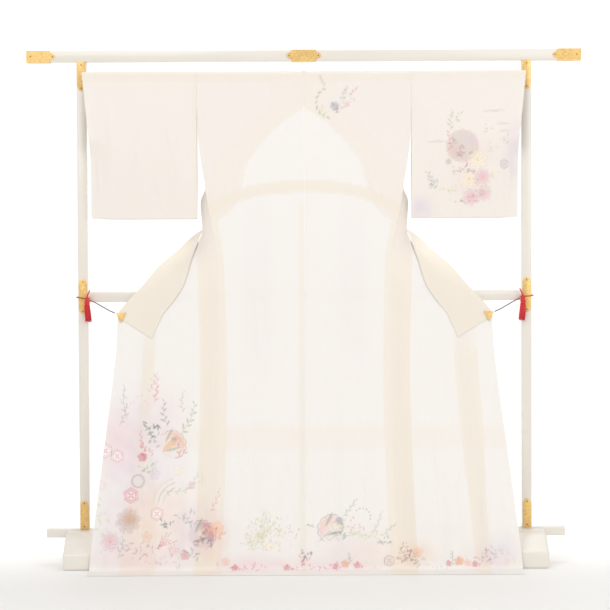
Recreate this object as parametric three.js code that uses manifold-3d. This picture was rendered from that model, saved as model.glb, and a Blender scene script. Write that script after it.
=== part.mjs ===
// A see-through summer houmongi kimono shown from the back on a lacquered rack.
// Millimetres, +Z up. X runs along the rack and -Y is the side that shows the kimono's back.
// The garment's left is +X. The origin lies on the floor, under the middle of the whole.
import * as THREE from 'three';
import { mergeVertices } from 'three/addons/utils/BufferGeometryUtils.js';
import Module from 'manifold-3d';

const wasm = await Module();
wasm.setup();

// ---------------------------------------------------------------- driving dimensions
const gap = 0.3;                    // between pieces that touch
const wall = 1.2;                   // cloth with its woven ribs
const lapStep = wall + 0.6;         // from one layer's middle to the next one's

const beamHalfLength = 879;
const beamBottom = 1600;
const beamSize = 34;
const postCentre = 707;
const postSize = 30;
const midRailBottom = 837;
const midRailHeight = 32;
const midRailDepth = 20;
const lowRailBottom = 84;
const lowRailSize = 27;
const lowRailHalfLength = 829;
const footWidth = 110;
const footHalfDepth = 145;
const footEndHeight = 50;
const footPeak = 108;

const rodRadius = 8;
const rodHalfLength = 689;
const rodY = -34;
const clothTop = 1566.3;
const drapeRadius = rodRadius + 0.6 + wall / 2;
const rodZ = clothTop - wall / 2 - drapeRadius;
const bracketThickness = 5.3;

const hemReach = 250;               // from the posts to the hem's edge on the floor
const hemClear = 0.3 + wall / 2;
const bendRadius = 14;
const bendTop = bendRadius + hemClear;
const bendLength = bendRadius * Math.PI / 2;
const hemRun = 84;

const shoulderHalf = 339;           // centre back to the sleeve seam
const collarWidth = 110;            // opened out flat
const backAllowance = 19;
const tuckHeight = 38;
const tuckTop = 1221;
const tuckSag = 78;
const sleeveHang = 219;             // length of the seam that joins sleeve and body

// The whole is moved so that the origin is under the middle of its box.
const middleY = (hemReach - footHalfDepth) / 2;

// ---------------------------------------------------------------- colours
const lacquer = new THREE.MeshStandardMaterial({ color: '#e9e6da', roughness: 0.35 });
const gilt = new THREE.MeshStandardMaterial({ color: '#dfae58', roughness: 0.35, metalness: 1 });
const gauze = new THREE.MeshStandardMaterial({ color: '#f6f3ea', roughness: 0.8 });
const doubled = new THREE.MeshStandardMaterial({ color: '#efe6d6', roughness: 0.8 });
const silk = new THREE.MeshStandardMaterial({ color: '#d9282f', roughness: 0.6 });

// ---------------------------------------------------------------- small tools
const mix = (a, b, share) => a + (b - a) * share;
const clamp = (value) => Math.min(1, Math.max(0, value));
const ease = (value) => clamp(value) ** 2 * (3 - 2 * clamp(value));

// Reads one column of a table at a given height, on a smooth curve through its rows.
function read(table, column, z) {
  const last = table.length - 2;
  let row = table.findIndex((entry, index) => index <= last && z <= table[index + 1].z);
  row = row < 0 ? last : row;
  const low = table[row];
  const high = table[row + 1];
  const span = high.z - low.z;
  const share = clamp((z - low.z) / span);
  const rate = (index) => {
    const before = table[Math.max(0, index - 1)];
    const after = table[Math.min(table.length - 1, index + 1)];
    return (after[column] - before[column]) / (after.z - before.z);
  };
  const curve = new THREE.CubicBezierCurve(
    new THREE.Vector2(0, low[column]),
    new THREE.Vector2(1 / 3, low[column] + rate(row) * span / 3),
    new THREE.Vector2(2 / 3, high[column] - rate(row + 1) * span / 3),
    new THREE.Vector2(1, high[column]),
  );
  return curve.getPoint(share).y;
}

function meshOf(name, geometry, material) {
  const mesh = new THREE.Mesh(geometry, material);
  mesh.name = name;
  return mesh;
}

function geometryOf(vertices, triangles) {
  const geometry = new THREE.BufferGeometry();
  const flat = vertices.flatMap((point) => [point.x, point.y, point.z]);
  geometry.setAttribute('position', new THREE.Float32BufferAttribute(flat, 3));
  let volume = 0;
  for (const [a, b, c] of triangles) {
    volume += vertices[a].dot(vertices[b].clone().cross(vertices[c]));
  }
  geometry.setIndex(triangles.flatMap(([a, b, c]) => (volume > 0 ? [a, b, c] : [a, c, b])));
  geometry.computeVertexNormals();
  return geometry;
}

// The direction square to a grid of points at one of them.
function squareTo(rows, i, j, around) {
  const count = rows.length;
  const width = rows[0].length;
  const below = around ? rows[(i + count - 1) % count][j] : rows[Math.max(0, i - 1)][j];
  const above = around ? rows[(i + 1) % count][j] : rows[Math.min(count - 1, i + 1)][j];
  const along = above.clone().sub(below);
  const across = rows[i][Math.min(width - 1, j + 1)].clone().sub(rows[i][Math.max(0, j - 1)]);
  return across.cross(along).normalize();
}

// A closed wall of cloth with the given grid of points as its middle surface. With `around`
// the last row joins the first one again, as in a sleeve.
function clothWall(rows, around = false) {
  const count = rows.length;
  const width = rows[0].length;
  const vertices = [];
  for (const side of [-0.5, 0.5]) {
    for (let i = 0; i < count; i += 1) {
      for (let j = 0; j < width; j += 1) {
        const out = squareTo(rows, i, j, around).multiplyScalar(side * wall);
        vertices.push(rows[i][j].clone().add(out));
      }
    }
  }
  const triangles = [];
  const quad = (a, b, c, d) => triangles.push([a, b, c], [a, c, d]);
  const at = (layer, i, j) => layer * count * width + (i % count) * width + j;
  const bands = around ? count : count - 1;
  for (let i = 0; i < bands; i += 1) {
    for (let j = 0; j < width - 1; j += 1) {
      quad(at(0, i, j), at(0, i, j + 1), at(0, i + 1, j + 1), at(0, i + 1, j));
      quad(at(1, i, j), at(1, i + 1, j), at(1, i + 1, j + 1), at(1, i, j + 1));
    }
    quad(at(0, i, 0), at(0, i + 1, 0), at(1, i + 1, 0), at(1, i, 0));
    quad(at(0, i, width - 1), at(1, i, width - 1), at(1, i + 1, width - 1), at(0, i + 1, width - 1));
  }
  if (!around) {
    for (let j = 0; j < width - 1; j += 1) {
      quad(at(0, 0, j), at(1, 0, j), at(1, 0, j + 1), at(0, 0, j + 1));
      quad(at(0, count - 1, j), at(0, count - 1, j + 1), at(1, count - 1, j + 1), at(1, count - 1, j));
    }
  }
  return geometryOf(vertices, triangles);
}

function solidOf(geometry) {
  const plain = geometry.clone();
  plain.deleteAttribute('normal');
  plain.deleteAttribute('uv');
  const joined = mergeVertices(plain, 1e-4);
  return new wasm.Manifold(new wasm.Mesh({
    numProp: 3,
    vertProperties: new Float32Array(joined.attributes.position.array),
    triVerts: new Uint32Array(joined.index.array),
  }));
}

function geometryFrom(solid) {
  const mesh = solid.getMesh();
  const geometry = new THREE.BufferGeometry();
  geometry.setAttribute('position', new THREE.BufferAttribute(mesh.vertProperties, 3));
  geometry.setIndex(new THREE.BufferAttribute(mesh.triVerts, 1));
  return geometry;
}

function boxAt(x, y, z) {
  const geometry = new THREE.BoxGeometry(x[1] - x[0], y[1] - y[0], z[1] - z[0]);
  return geometry.translate((x[0] + x[1]) / 2, (y[0] + y[1]) / 2, (z[0] + z[1]) / 2);
}

// ---------------------------------------------------------------- the garment's tables
// Each row is a level of one side of the garment. `seam` is the side seam and `edge` the free
// front edge: out is the distance from the centre back. `leave` and `arrive` are the headings,
// in degrees, of the front's section at both its ends: 0 is folded in behind the back and 180
// is opened out beside it. `reach` is the strength of both headings.
const sideSections = [
  { z: 0, seamOut: 283, seamY: -153, edgeOut: 679, edgeY: -153, leave: 180, arrive: 180, reach: 396 },
  { z: 73, seamOut: 281, seamY: -150, edgeOut: 671, edgeY: -149, leave: 180, arrive: 180, reach: 390 },
  { z: 187, seamOut: 275, seamY: -137, edgeOut: 657, edgeY: -133, leave: 180, arrive: 180, reach: 382 },
  { z: 360, seamOut: 270, seamY: -113, edgeOut: 636, edgeY: -104, leave: 180, arrive: 180, reach: 366 },
  { z: 504, seamOut: 266, seamY: -95, edgeOut: 618, edgeY: -80, leave: 180, arrive: 180, reach: 352 },
  { z: 683, seamOut: 266, seamY: -78, edgeOut: 598, edgeY: -56, leave: 180, arrive: 180, reach: 332 },
  { z: 775, seamOut: 268, seamY: -71, edgeOut: 594, edgeY: -44, leave: 180, arrive: 180, reach: 326 },
  { z: 806, seamOut: 269, seamY: -69, edgeOut: 590, edgeY: -40, leave: 180, arrive: 180, reach: 321 },
  { z: 900, seamOut: 272, seamY: -64, edgeOut: 505, edgeY: -22, leave: 180, arrive: 175, reach: 236 },
  { z: 950, seamOut: 274, seamY: -61, edgeOut: 462, edgeY: 6, leave: 176, arrive: 165, reach: 210 },
  { z: 1000, seamOut: 278, seamY: -58, edgeOut: 405, edgeY: 46, leave: 168, arrive: 150, reach: 220 },
  { z: 1053, seamOut: 287, seamY: -55, edgeOut: 348, edgeY: 92, leave: 160, arrive: 125, reach: 235 },
  { z: 1110, seamOut: 299, seamY: -52, edgeOut: 250, edgeY: 118, leave: 150, arrive: 65, reach: 255 },
  { z: 1165, seamOut: 309, seamY: -50, edgeOut: 208, edgeY: 110, leave: 132, arrive: 28, reach: 255 },
  { z: 1215, seamOut: 316, seamY: -48, edgeOut: 196, edgeY: 94, leave: 75, arrive: 20, reach: 200 },
  { z: 1280, seamOut: 327, seamY: -46, edgeOut: 178, edgeY: 66, leave: 40, arrive: 15, reach: 180 },
  { z: 1350, seamOut: 336, seamY: -44, edgeOut: 125, edgeY: 30, leave: 8, arrive: 10, reach: 215 },
  { z: 1410, seamOut: 338, seamY: -43.4, edgeOut: 62, edgeY: 0, leave: 2, arrive: 5, reach: 277 },
  { z: 1456, seamOut: 339, seamY: -43.2, edgeOut: 0, edgeY: -18, leave: 0, arrive: 0, reach: 339 },
  { z: 1500, seamOut: 339, seamY: -43.2, edgeOut: 0, edgeY: -24.8, leave: 0, arrive: 0, reach: 339 },
  { z: rodZ, seamOut: 339, seamY: -43.2, edgeOut: 0, edgeY: -24.8, leave: 0, arrive: 0, reach: 339 },
];

// How far behind the back's side edge the front's side edge hangs. They meet below the armhole.
const armholeDepth = [
  { z: 900, depth: 0 },
  { z: 1000, depth: 1.2 },
  { z: 1110, depth: 2.1 },
  { z: 1165, depth: 2.3 },
  { z: 1215, depth: 8 },
  { z: 1280, depth: 15 },
  { z: 1350, depth: 18.4 },
  { z: rodZ, depth: 18.4 },
];

// The share of the front's section where the body cloth ends and the okumi starts.
const okumiSeam = [
  { z: 0, share: 0.632 },
  { z: 900, share: 0.63 },
  { z: 1000, share: 0.57 },
  { z: 1053, share: 0.56 },
  { z: 1110, share: 0.61 },
  { z: 1165, share: 0.63 },
  { z: 1410, share: 0.628 },
  { z: 1490, share: 0.66 },
  { z: rodZ, share: 0.735 },
];

// The share of the front's section where the okumi ends. Its point lies under the collar.
const okumiEdge = [
  { z: 0, share: 1 },
  { z: 770, share: 1 },
  { z: 806, share: 0.985 },
  { z: 950, share: 0.76 },
  { z: 1027, share: 0.6 },
];

// Cross-sections of the collar, from its clipped end to the centre back. `lift` is how far its
// middle surface lies out from the middle surface of the cloth under it.
const collarSections = [
  { freeZ: 790, seamShare: 0.66, seamZ: 722, lift: 2.3 },
  { freeZ: 806, seamShare: 0.64, seamZ: 740, lift: 2.3 },
  { freeZ: 850, seamShare: 0.58, seamZ: 783, lift: 2.3 },
  { freeZ: 900, seamShare: 0.51, seamZ: 830, lift: 3.7 },
  { freeZ: 950, seamShare: 0.46, seamZ: 880, lift: 3.7 },
  { freeZ: 1000, seamShare: 0.46, seamZ: 935, lift: 3.7 },
  { freeZ: 1053, seamShare: 0.52, seamZ: 1005, lift: 3.7 },
  { freeZ: 1110, seamShare: 0.58, seamZ: 1085, lift: 2.3 },
  { freeZ: 1165, seamShare: 0.6, seamZ: 1165, lift: 2.3 },
  { freeZ: 1215, seamShare: 0.57, seamZ: 1240, lift: 2.3 },
  { freeZ: 1280, seamShare: 0.47, seamZ: 1330, lift: 2.3 },
  { freeZ: 1350, seamShare: 0.45, seamZ: 1425, lift: 2.3 },
  { freeZ: 1400, seamShare: 0.55, seamZ: 1490, lift: 2.3 },
  { freeZ: 1436, seamShare: 0.72, seamZ: rodZ - 6, lift: 2.3 },
  { freeZ: 1450, seamShare: 0.86, seamZ: rodZ + 5, lift: 2.3 },
  { freeZ: 1456, seamShare: 1, seamZ: rodZ + 9, lift: 2.3 },
];

// Soft upright folds that swell toward -Y. `x` is where each meets the floor, and it fades
// out at the height `top`.
const folds = [
  { x: -612, halfWidth: 46, depth: 11, top: 620 },
  { x: -470, halfWidth: 52, depth: 9, top: 700 },
  { x: -372, halfWidth: 44, depth: 12, top: 760 },
  { x: -232, halfWidth: 50, depth: 10, top: 900 },
  { x: -118, halfWidth: 58, depth: 8, top: 1000 },
  { x: 12, halfWidth: 62, depth: 9, top: 950 },
  { x: 128, halfWidth: 48, depth: 11, top: 1020 },
  { x: 236, halfWidth: 52, depth: 8, top: 880 },
  { x: 352, halfWidth: 50, depth: 12, top: 720 },
  { x: 462, halfWidth: 44, depth: 9, top: 740 },
  { x: 590, halfWidth: 54, depth: 11, top: 600 },
];

function foldDepth(x, z) {
  let depth = 0;
  for (const fold of folds) {
    const fade = ease(1 - z / fold.top);
    const narrow = mix(0.92, 1, fade);
    const off = clamp(Math.abs(x - fold.x * narrow) / fold.halfWidth);
    depth += fold.depth * fade * (0.5 + 0.5 * Math.cos(Math.PI * off));
  }
  return depth;
}

// ---------------------------------------------------------------- the garment's surfaces
// A place on the cloth is given by its side (-1 or 1), its share of the section and its rise:
// the length of cloth above the bend at the floor, negative along the floor.
const heightOf = (rise) => Math.max(0, rise) + bendTop;
const riseOf = (z) => z - bendTop;
const hemRise = -(bendLength + hemRun);

// Carries a point at the bend's top round the bend and out along the floor.
function onFloor(point, rise) {
  if (rise >= 0) {
    return point;
  }
  const turn = Math.min(-rise / bendRadius, Math.PI / 2);
  const run = clamp((-rise - bendLength) / hemRun);
  const bentY = point.y - bendRadius * (1 - Math.cos(turn));
  point.y = mix(bentY, -hemReach, run);
  point.z = bendTop - bendRadius * Math.sin(turn);
  return point;
}

function backPoint(side, share, rise) {
  const z = heightOf(rise);
  const x = side * share * read(sideSections, 'seamOut', Math.min(z, rodZ));
  const level = read(sideSections, 'seamY', Math.min(z, rodZ));
  return onFloor(new THREE.Vector3(x, level - foldDepth(x, z), z), rise);
}

// Past the rod's height the rise goes on over the rod, from the far side toward -Y.
function frontPoint(side, share, rise) {
  const z = Math.min(heightOf(rise), rodZ);
  const row = (column) => read(sideSections, column, z);
  const turn = THREE.MathUtils.degToRad(row('leave'));
  const arrive = THREE.MathUtils.degToRad(row('arrive'));
  const depth = read(armholeDepth, 'depth', Math.max(z, armholeDepth[0].z));
  const closed = 1 - ease((z - 1165) / 80);
  const start = new THREE.Vector2(
    row('seamOut') + closed * (gap + Math.sin(turn) * wall / 2),
    row('seamY') + depth,
  );
  const end = new THREE.Vector2(row('edgeOut'), row('edgeY'));
  const lead = row('reach') / 3;
  const inner = start.clone().add(new THREE.Vector2(-Math.cos(turn), Math.sin(turn)).multiplyScalar(lead));
  const outer = end.clone().sub(new THREE.Vector2(-Math.cos(arrive), Math.sin(arrive)).multiplyScalar(lead));
  const flat = new THREE.CubicBezierCurve(start, inner, outer, end).getPoint(share);
  const x = side * flat.x;
  const point = new THREE.Vector3(x, flat.y - foldDepth(x, z), z);
  const over = Math.max(0, heightOf(rise) - rodZ) / drapeRadius;
  if (over > 0) {
    point.y = rodY + drapeRadius * Math.cos(over);
    point.z = rodZ + drapeRadius * Math.sin(over);
  }
  return onFloor(point, rise);
}

// The garment's outer side at a place on the front: what lies on it is moved this way.
function frontOut(side, share, rise) {
  const step = 0.01;
  const climb = 2;
  const across = frontPoint(side, share + step, rise).sub(frontPoint(side, share - step, rise));
  const up = frontPoint(side, share, rise + climb).sub(frontPoint(side, share, rise - climb));
  return across.cross(up).normalize().multiplyScalar(side);
}

function onFront(side, share, rise, out) {
  const lifted = frontOut(side, share, rise).multiplyScalar(out);
  return frontPoint(side, share, rise).add(lifted);
}

// ---------------------------------------------------------------- the garment's pieces
const heights = [60, 130, 210, 300, 400, 500, 600, 680, 750, 806, 850, 900, 925, 950, 975, 1000,
  1027, 1053, 1081, 1110, 1138, 1165, 1215, 1280, 1350, 1395, 1436, 1470, 1510, rodZ];
const floorRises = [hemRise, hemRise + 42, -bendLength, -bendLength / 2, 0];
const rises = [...floorRises, ...heights.map(riseOf)];
const okumiTop = 1027;
const bodyColumns = 11;
const okumiColumns = 5;
const sideAllowanceCells = 3;        // about 66 mm at the hem
const okumiAllowanceCells = 2;       // about 58 mm at the hem
const range = (count, from = 0) => Array.from({ length: count }, (_, index) => index + from);

const seamShare = (rise) => read(okumiSeam, 'share', heightOf(rise));

// One loom width of cloth from the back's hem, over the rod, to the front's hem.
function bodyGrid(side) {
  const shares = range(bodyColumns + 1).map((column) => column / bodyColumns);
  const centre = gap / 2 / shoulderHalf;
  const rows = rises.map((rise) => shares.map((share) => backPoint(side, mix(centre, 1, share), rise)));
  const steps = 6;
  for (const step of range(steps - 1, 1)) {
    const turn = Math.PI * step / steps;
    rows.push(shares.map((share) => {
      const neck = mix(centre, 1 - seamShare(riseOf(rodZ)), ease(step / steps));
      return new THREE.Vector3(
        side * mix(neck, 1, share) * shoulderHalf,
        rodY - drapeRadius * Math.cos(turn),
        rodZ + drapeRadius * Math.sin(turn),
      );
    }));
  }
  for (const rise of [...rises].reverse()) {
    rows.push(shares.map((share) => frontPoint(side, (1 - share) * seamShare(rise), rise)));
  }
  return rows;
}

function okumiGrid(side) {
  return rises.filter((rise) => heightOf(rise) <= okumiTop).map((rise) => {
    const start = seamShare(rise) + gap / read(sideSections, 'reach', heightOf(rise)) * 1.4;
    const end = read(okumiEdge, 'share', Math.max(heightOf(rise), okumiEdge[0].z));
    return range(okumiColumns + 1).map((column) => (
      frontPoint(side, mix(start, end, column / okumiColumns), rise)
    ));
  });
}

function collarGrid() {
  const acrossShares = [0, 0.06, 0.13, 0.3, 0.5, 0.7, 0.85, 1];
  const sections = [];
  collarSections.slice(1).forEach((next, index) => {
    const last = collarSections[index];
    for (const step of [0, 0.5]) {
      sections.push({
        freeZ: mix(last.freeZ, next.freeZ, step),
        seamShare: mix(last.seamShare, next.seamShare, step),
        seamZ: mix(last.seamZ, next.seamZ, step),
        lift: mix(last.lift, next.lift, step),
      });
    }
  });
  sections.push(collarSections.at(-1));
  const half = (side) => sections.map((section) => acrossShares.map((across) => {
    const share = mix(section.seamShare, 1, across);
    const rise = riseOf(mix(section.seamZ, section.freeZ, across));
    return onFront(side, share, rise, section.lift);
  }));
  const left = half(-1);
  const right = half(1);
  const middle = left.at(-1).map((point, column) => (
    point.clone().add(right.at(-1)[column]).multiplyScalar(0.5).setX(0)
  ));
  return [...left.slice(0, -1), middle, ...right.slice(0, -1).reverse()];
}

// A seam's spare cloth, turned in beside the seam: it lies on the inner side of the front, and
// ends above the hem's bend.
function allowanceGrid(side, from, cells, topZ, cellShare) {
  return rises.filter((rise) => rise >= 0 && heightOf(rise) <= topZ).map((rise) => (
    [0.02, ...range(cells, 1)].map((cell) => (
      onFront(side, from(rise) + cellShare(rise) * cell, rise, -lapStep)
    ))
  ));
}

// The tuck across the back: a fold of spare length on the inner side, highest at the centre.
function tuckGrid(side) {
  const shares = range(bodyColumns + 1).map((column) => column / bodyColumns);
  return [0, 0.5, 1].map((rowShare) => shares.map((share) => {
    const place = mix(0.004, 0.985, share);
    const z = tuckTop - tuckHeight * rowShare - tuckSag * place ** 2.4;
    const point = backPoint(side, place, riseOf(z));
    point.y += lapStep + 0.3;
    return point;
  }));
}

function backAllowanceGrid() {
  return rises.filter((rise) => rise >= 0 && heightOf(rise) <= 1150).map((rise) => (
    [0.01, 1].map((share) => {
      const width = backAllowance / read(sideSections, 'seamOut', heightOf(rise));
      const point = backPoint(-1, share * width, rise);
      const low = backPoint(-1, share * width, rise - 2);
      const high = backPoint(-1, share * width, rise + 2);
      const up = high.sub(low).normalize();
      return point.add(new THREE.Vector3(0, up.z, -up.y).multiplyScalar(lapStep));
    })
  ));
}

// ---------------------------------------------------------------- sleeves
const sleeveBottom = 1096;
const sleeveOuter = [
  { z: sleeveBottom, out: 676, far: 676 },
  { z: 1327, out: 679, far: 678 },
  { z: 1480, out: 694, far: 683 },
  { z: rodZ, out: 702, far: 684 },
];
const cuffOpening = 230;
const cornerRadius = 20;

// Half the distance between a sleeve's two layers. Below the cuff's opening its outer edge is
// sewn shut.
function sleeveHalf(out, outer, z) {
  const hang = (rodZ - z) / (rodZ - sleeveBottom);
  const open = mix(drapeRadius, 5, hang) + 15 * Math.sin(Math.PI * clamp(hang)) ** 1.5;
  const inner = ease((out - shoulderHalf) / 60);
  const joined = 1 - ease((rodZ - z) / sleeveHang - 0.75);
  const held = mix(open, drapeRadius, (1 - inner) * joined);
  const shut = ease((out - outer + 70) / 70) * ease((rodZ - cuffOpening - z + 40) / 80);
  return mix(held, 1.1, shut);
}

function sleeveGrid(side) {
  const columns = 8;
  const levels = [rodZ, 1500, 1430, 1370, 1310, 1240, 1170, 1120, 1104];
  const pointAt = (z, share, facing, lift) => {
    const outer = read(sleeveOuter, facing < 0 ? 'out' : 'far', z);
    const lowness = clamp((sleeveBottom + cornerRadius - z) / cornerRadius);
    const corner = outer - cornerRadius * (1 - Math.sqrt(1 - (lowness * 0.9) ** 2));
    const out = mix(shoulderHalf + gap, corner, share);
    const half = sleeveHalf(out, outer, z);
    return new THREE.Vector3(side * out, rodY + facing * half, z + lift);
  };
  const row = (make) => range(columns + 1).map((column) => make(column / columns));
  const near = levels.map((z) => row((share) => pointAt(z, share, -1, 0)));
  const far = [...levels].reverse().map((z) => row((share) => pointAt(z, share, 1, 0)));
  const bottom = row((share) => {
    const point = pointAt(levels.at(-1), share, -1, 0);
    point.z -= Math.max(2, rodY - point.y);
    point.y = rodY;
    return point;
  });
  const steps = 6;
  const top = range(steps - 1, 1).map((step) => row((share) => {
    const turn = Math.PI * step / steps;
    const point = pointAt(rodZ, share, step < steps / 2 ? 1 : -1, 0);
    point.y = rodY + drapeRadius * Math.cos(turn);
    point.z = rodZ + drapeRadius * Math.sin(turn);
    return point;
  }));
  return [...near, bottom, ...far, ...top];
}

// ---------------------------------------------------------------- the rack
// A plate's outline that ends in a pointed ogee, drawn along its length from `from` to `to`.
function ogeeOutline(from, to, half, pointedStart, pointedEnd) {
  const tip = half * 0.95;
  const outline = new THREE.Shape();
  const toTip = (base, way) => {
    outline.quadraticCurveTo(base + way * tip * 0.1, half * 0.55, base + way * tip * 0.45, half * 0.5);
    outline.quadraticCurveTo(base + way * tip * 0.8, half * 0.4, base + way * tip, 0);
    outline.quadraticCurveTo(base + way * tip * 0.8, -half * 0.4, base + way * tip * 0.45, -half * 0.5);
    outline.quadraticCurveTo(base + way * tip * 0.1, -half * 0.55, base, -half);
  };
  const start = pointedStart ? from + tip : from;
  const end = pointedEnd ? to - tip : to;
  outline.moveTo(start, half);
  outline.lineTo(end, half);
  if (pointedEnd) {
    toTip(end, 1);
  } else {
    outline.lineTo(end, -half);
  }
  outline.lineTo(start, -half);
  if (pointedStart) {
    outline.quadraticCurveTo(start - tip * 0.1, -half * 0.55, start - tip * 0.45, -half * 0.5);
    outline.quadraticCurveTo(start - tip * 0.8, -half * 0.4, start - tip, 0);
    outline.quadraticCurveTo(start - tip * 0.8, half * 0.4, start - tip * 0.45, half * 0.5);
    outline.quadraticCurveTo(start - tip * 0.1, half * 0.55, start, half);
  }
  outline.closePath();
  return outline;
}

const plateThickness = 1.2;

// A sheet-metal fitting round a bar: its outline is cut right through and the bar's room taken
// out of it. `upright` fittings run along Z, the others along X.
function fitting(name, options) {
  const { from, to, across, size, upright, points, rooms } = options;
  const half = size / 2 + gap + plateThickness;
  const shape = ogeeOutline(from, to, half, points[0], points[1]);
  const block = new THREE.ExtrudeGeometry(shape, { depth: 2 * half, bevelEnabled: false, curveSegments: 3 });
  block.translate(0, 0, -half);
  block.rotateX(Math.PI / 2);
  if (upright) {
    block.rotateY(-Math.PI / 2);
  }
  block.translate(upright ? across : 0, 0, upright ? 0 : across);
  let solid = solidOf(block);
  for (const room of rooms) {
    solid = solid.subtract(solidOf(room));
  }
  return meshOf(name, geometryFrom(solid), gilt);
}

function buildRack(rack) {
  const beamTop = beamBottom + beamSize;
  const beamMiddle = beamBottom + beamSize / 2;
  const beamHalf = beamSize / 2;
  const beam = boxAt([-beamHalfLength, beamHalfLength], [-beamHalf, beamHalf], [beamBottom, beamTop]);
  const beamRoom = boxAt(
    [-beamHalfLength - gap, beamHalfLength + gap],
    [-beamHalf - gap, beamHalf + gap],
    [beamBottom - gap, beamTop + gap],
  );
  rack.add(meshOf('top_beam', beam, lacquer));
  rack.add(fitting('beam_fitting_centre', {
    from: -56, to: 56, across: beamMiddle, size: beamSize, upright: false,
    points: [true, true], rooms: [beamRoom],
  }));

  const railTop = midRailBottom + midRailHeight;
  const railInner = postCentre - postSize / 2 - gap;
  const rail = boxAt([-railInner, railInner], [-midRailDepth / 2, midRailDepth / 2], [midRailBottom, railTop]);
  const railRoom = boxAt(
    [-postCentre, postCentre],
    [-midRailDepth / 2 - gap, midRailDepth / 2 + gap],
    [midRailBottom - gap, railTop + gap],
  );
  rack.add(meshOf('middle_rail', rail, lacquer));

  const lowHalf = lowRailSize / 2;
  const lowTop = lowRailBottom + lowRailSize;
  rack.add(meshOf('lower_rail', boxAt(
    [-lowRailHalfLength, lowRailHalfLength], [-lowHalf, lowHalf], [lowRailBottom, lowTop],
  ), lacquer));

  for (const [side, label] of [[-1, 'left'], [1, 'right']]) {
    const x = side * postCentre;
    const half = postSize / 2;
    const postBottom = lowTop + gap;
    const postTop = beamBottom - gap;
    const post = boxAt([x - half, x + half], [-half, half], [postBottom, postTop]);
    const postRoom = boxAt([x - half - gap, x + half + gap], [-half - gap, half + gap], [0, beamBottom]);
    rack.add(meshOf(`post_${label}`, post, lacquer));
    rack.add(meshOf(`foot_${label}`, footGeometry(x), lacquer));
    rack.add(meshOf(`rod_bracket_${label}`, bracketGeometry(side), lacquer));

    const capInner = beamHalfLength - 90;
    const capOuter = beamHalfLength + gap + plateThickness;
    rack.add(fitting(`beam_cap_${label}`, {
      from: side < 0 ? -capOuter : capInner, to: side < 0 ? -capInner : capOuter,
      across: beamMiddle, size: beamSize, upright: false, points: [side > 0, side < 0],
      rooms: [beamRoom],
    }));
    const uprights = [
      { name: 'top', from: 1508, to: postTop - gap, points: [true, false], rooms: [postRoom] },
      { name: 'middle', from: 799, to: 911, points: [true, true], rooms: [postRoom, railRoom] },
      { name: 'bottom', from: lowTop + gap, to: 203, points: [false, true], rooms: [postRoom] },
    ];
    for (const upright of uprights) {
      rack.add(fitting(`post_fitting_${upright.name}_${label}`, {
        ...upright, across: x, size: postSize, upright: true,
      }));
    }
  }

  const rod = new THREE.CylinderGeometry(rodRadius, rodRadius, 2 * rodHalfLength, 16);
  rod.rotateZ(Math.PI / 2);
  rod.translate(0, rodY, rodZ);
  rack.add(meshOf('hanging_rod', rod, lacquer));
}

// A runner from front to back, with upright ends, an arched top and a notch for the lower rail.
function footGeometry(x) {
  const notch = lowRailSize / 2 + gap;
  const notchBottom = lowRailBottom - gap;
  const shoulder = notch + 10;
  const profile = new THREE.Shape();
  profile.moveTo(-footHalfDepth, 0);
  profile.lineTo(footHalfDepth, 0);
  profile.lineTo(footHalfDepth, footEndHeight);
  profile.bezierCurveTo(footHalfDepth - 35, footEndHeight + 12, shoulder + 55, footPeak, shoulder, footPeak);
  profile.lineTo(notch, footPeak);
  profile.lineTo(notch, notchBottom);
  profile.lineTo(-notch, notchBottom);
  profile.lineTo(-notch, footPeak);
  profile.lineTo(-shoulder, footPeak);
  profile.bezierCurveTo(-shoulder - 55, footPeak, -footHalfDepth + 35, footEndHeight + 12, -footHalfDepth, footEndHeight);
  profile.closePath();
  const geometry = new THREE.ExtrudeGeometry(profile, { depth: footWidth, bevelEnabled: false, curveSegments: 8 });
  geometry.applyMatrix4(new THREE.Matrix4().makeBasis(
    new THREE.Vector3(0, 1, 0), new THREE.Vector3(0, 0, 1), new THREE.Vector3(1, 0, 0),
  ));
  return geometry.translate(x - footWidth / 2, 0, 0);
}

// A cradle on the inner face of the post's top fitting: it carries the rod's end from below and behind.
function bracketGeometry(side) {
  const seat = rodRadius + gap;
  const tip = THREE.MathUtils.degToRad(225);
  const profile = new THREE.Shape();
  profile.moveTo(12, rodZ - 34);
  profile.lineTo(12, rodZ);
  profile.lineTo(rodY + seat, rodZ);
  profile.absarc(rodY, rodZ, seat, 0, tip - 2 * Math.PI, true);
  profile.lineTo(rodY + seat * Math.cos(tip), rodZ - 14);
  profile.closePath();
  const geometry = new THREE.ExtrudeGeometry(profile, {
    depth: bracketThickness, bevelEnabled: false, curveSegments: 6,
  });
  geometry.applyMatrix4(new THREE.Matrix4().makeBasis(
    new THREE.Vector3(0, 1, 0), new THREE.Vector3(0, 0, 1), new THREE.Vector3(1, 0, 0),
  ));
  const inner = postCentre - postSize / 2 - 2 * gap - plateThickness;
  return geometry.translate(side < 0 ? -inner : inner - bracketThickness, 0, 0);
}

// ---------------------------------------------------------------- cords, tassels and clips
const cordDiameter = 3;
const cordRadius = cordDiameter / 2;
const knotRadius = 7;
const knot = { out: 693, y: -26, z: 846 };
const clipWidth = 35;
const clipHeight = 32;
const clipThickness = 8.6;
const clipSlot = 6.2;
const clipFold = 12.6;               // where the sheet is folded over, out from its middle

function cordTube(points, steps) {
  const section = new THREE.Shape();
  section.absarc(0, 0, cordRadius, 0, 2 * Math.PI);
  return new THREE.ExtrudeGeometry(section, {
    steps, curveSegments: 4, bevelEnabled: false, extrudePath: new THREE.CatmullRomCurve3(points),
  });
}

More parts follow.
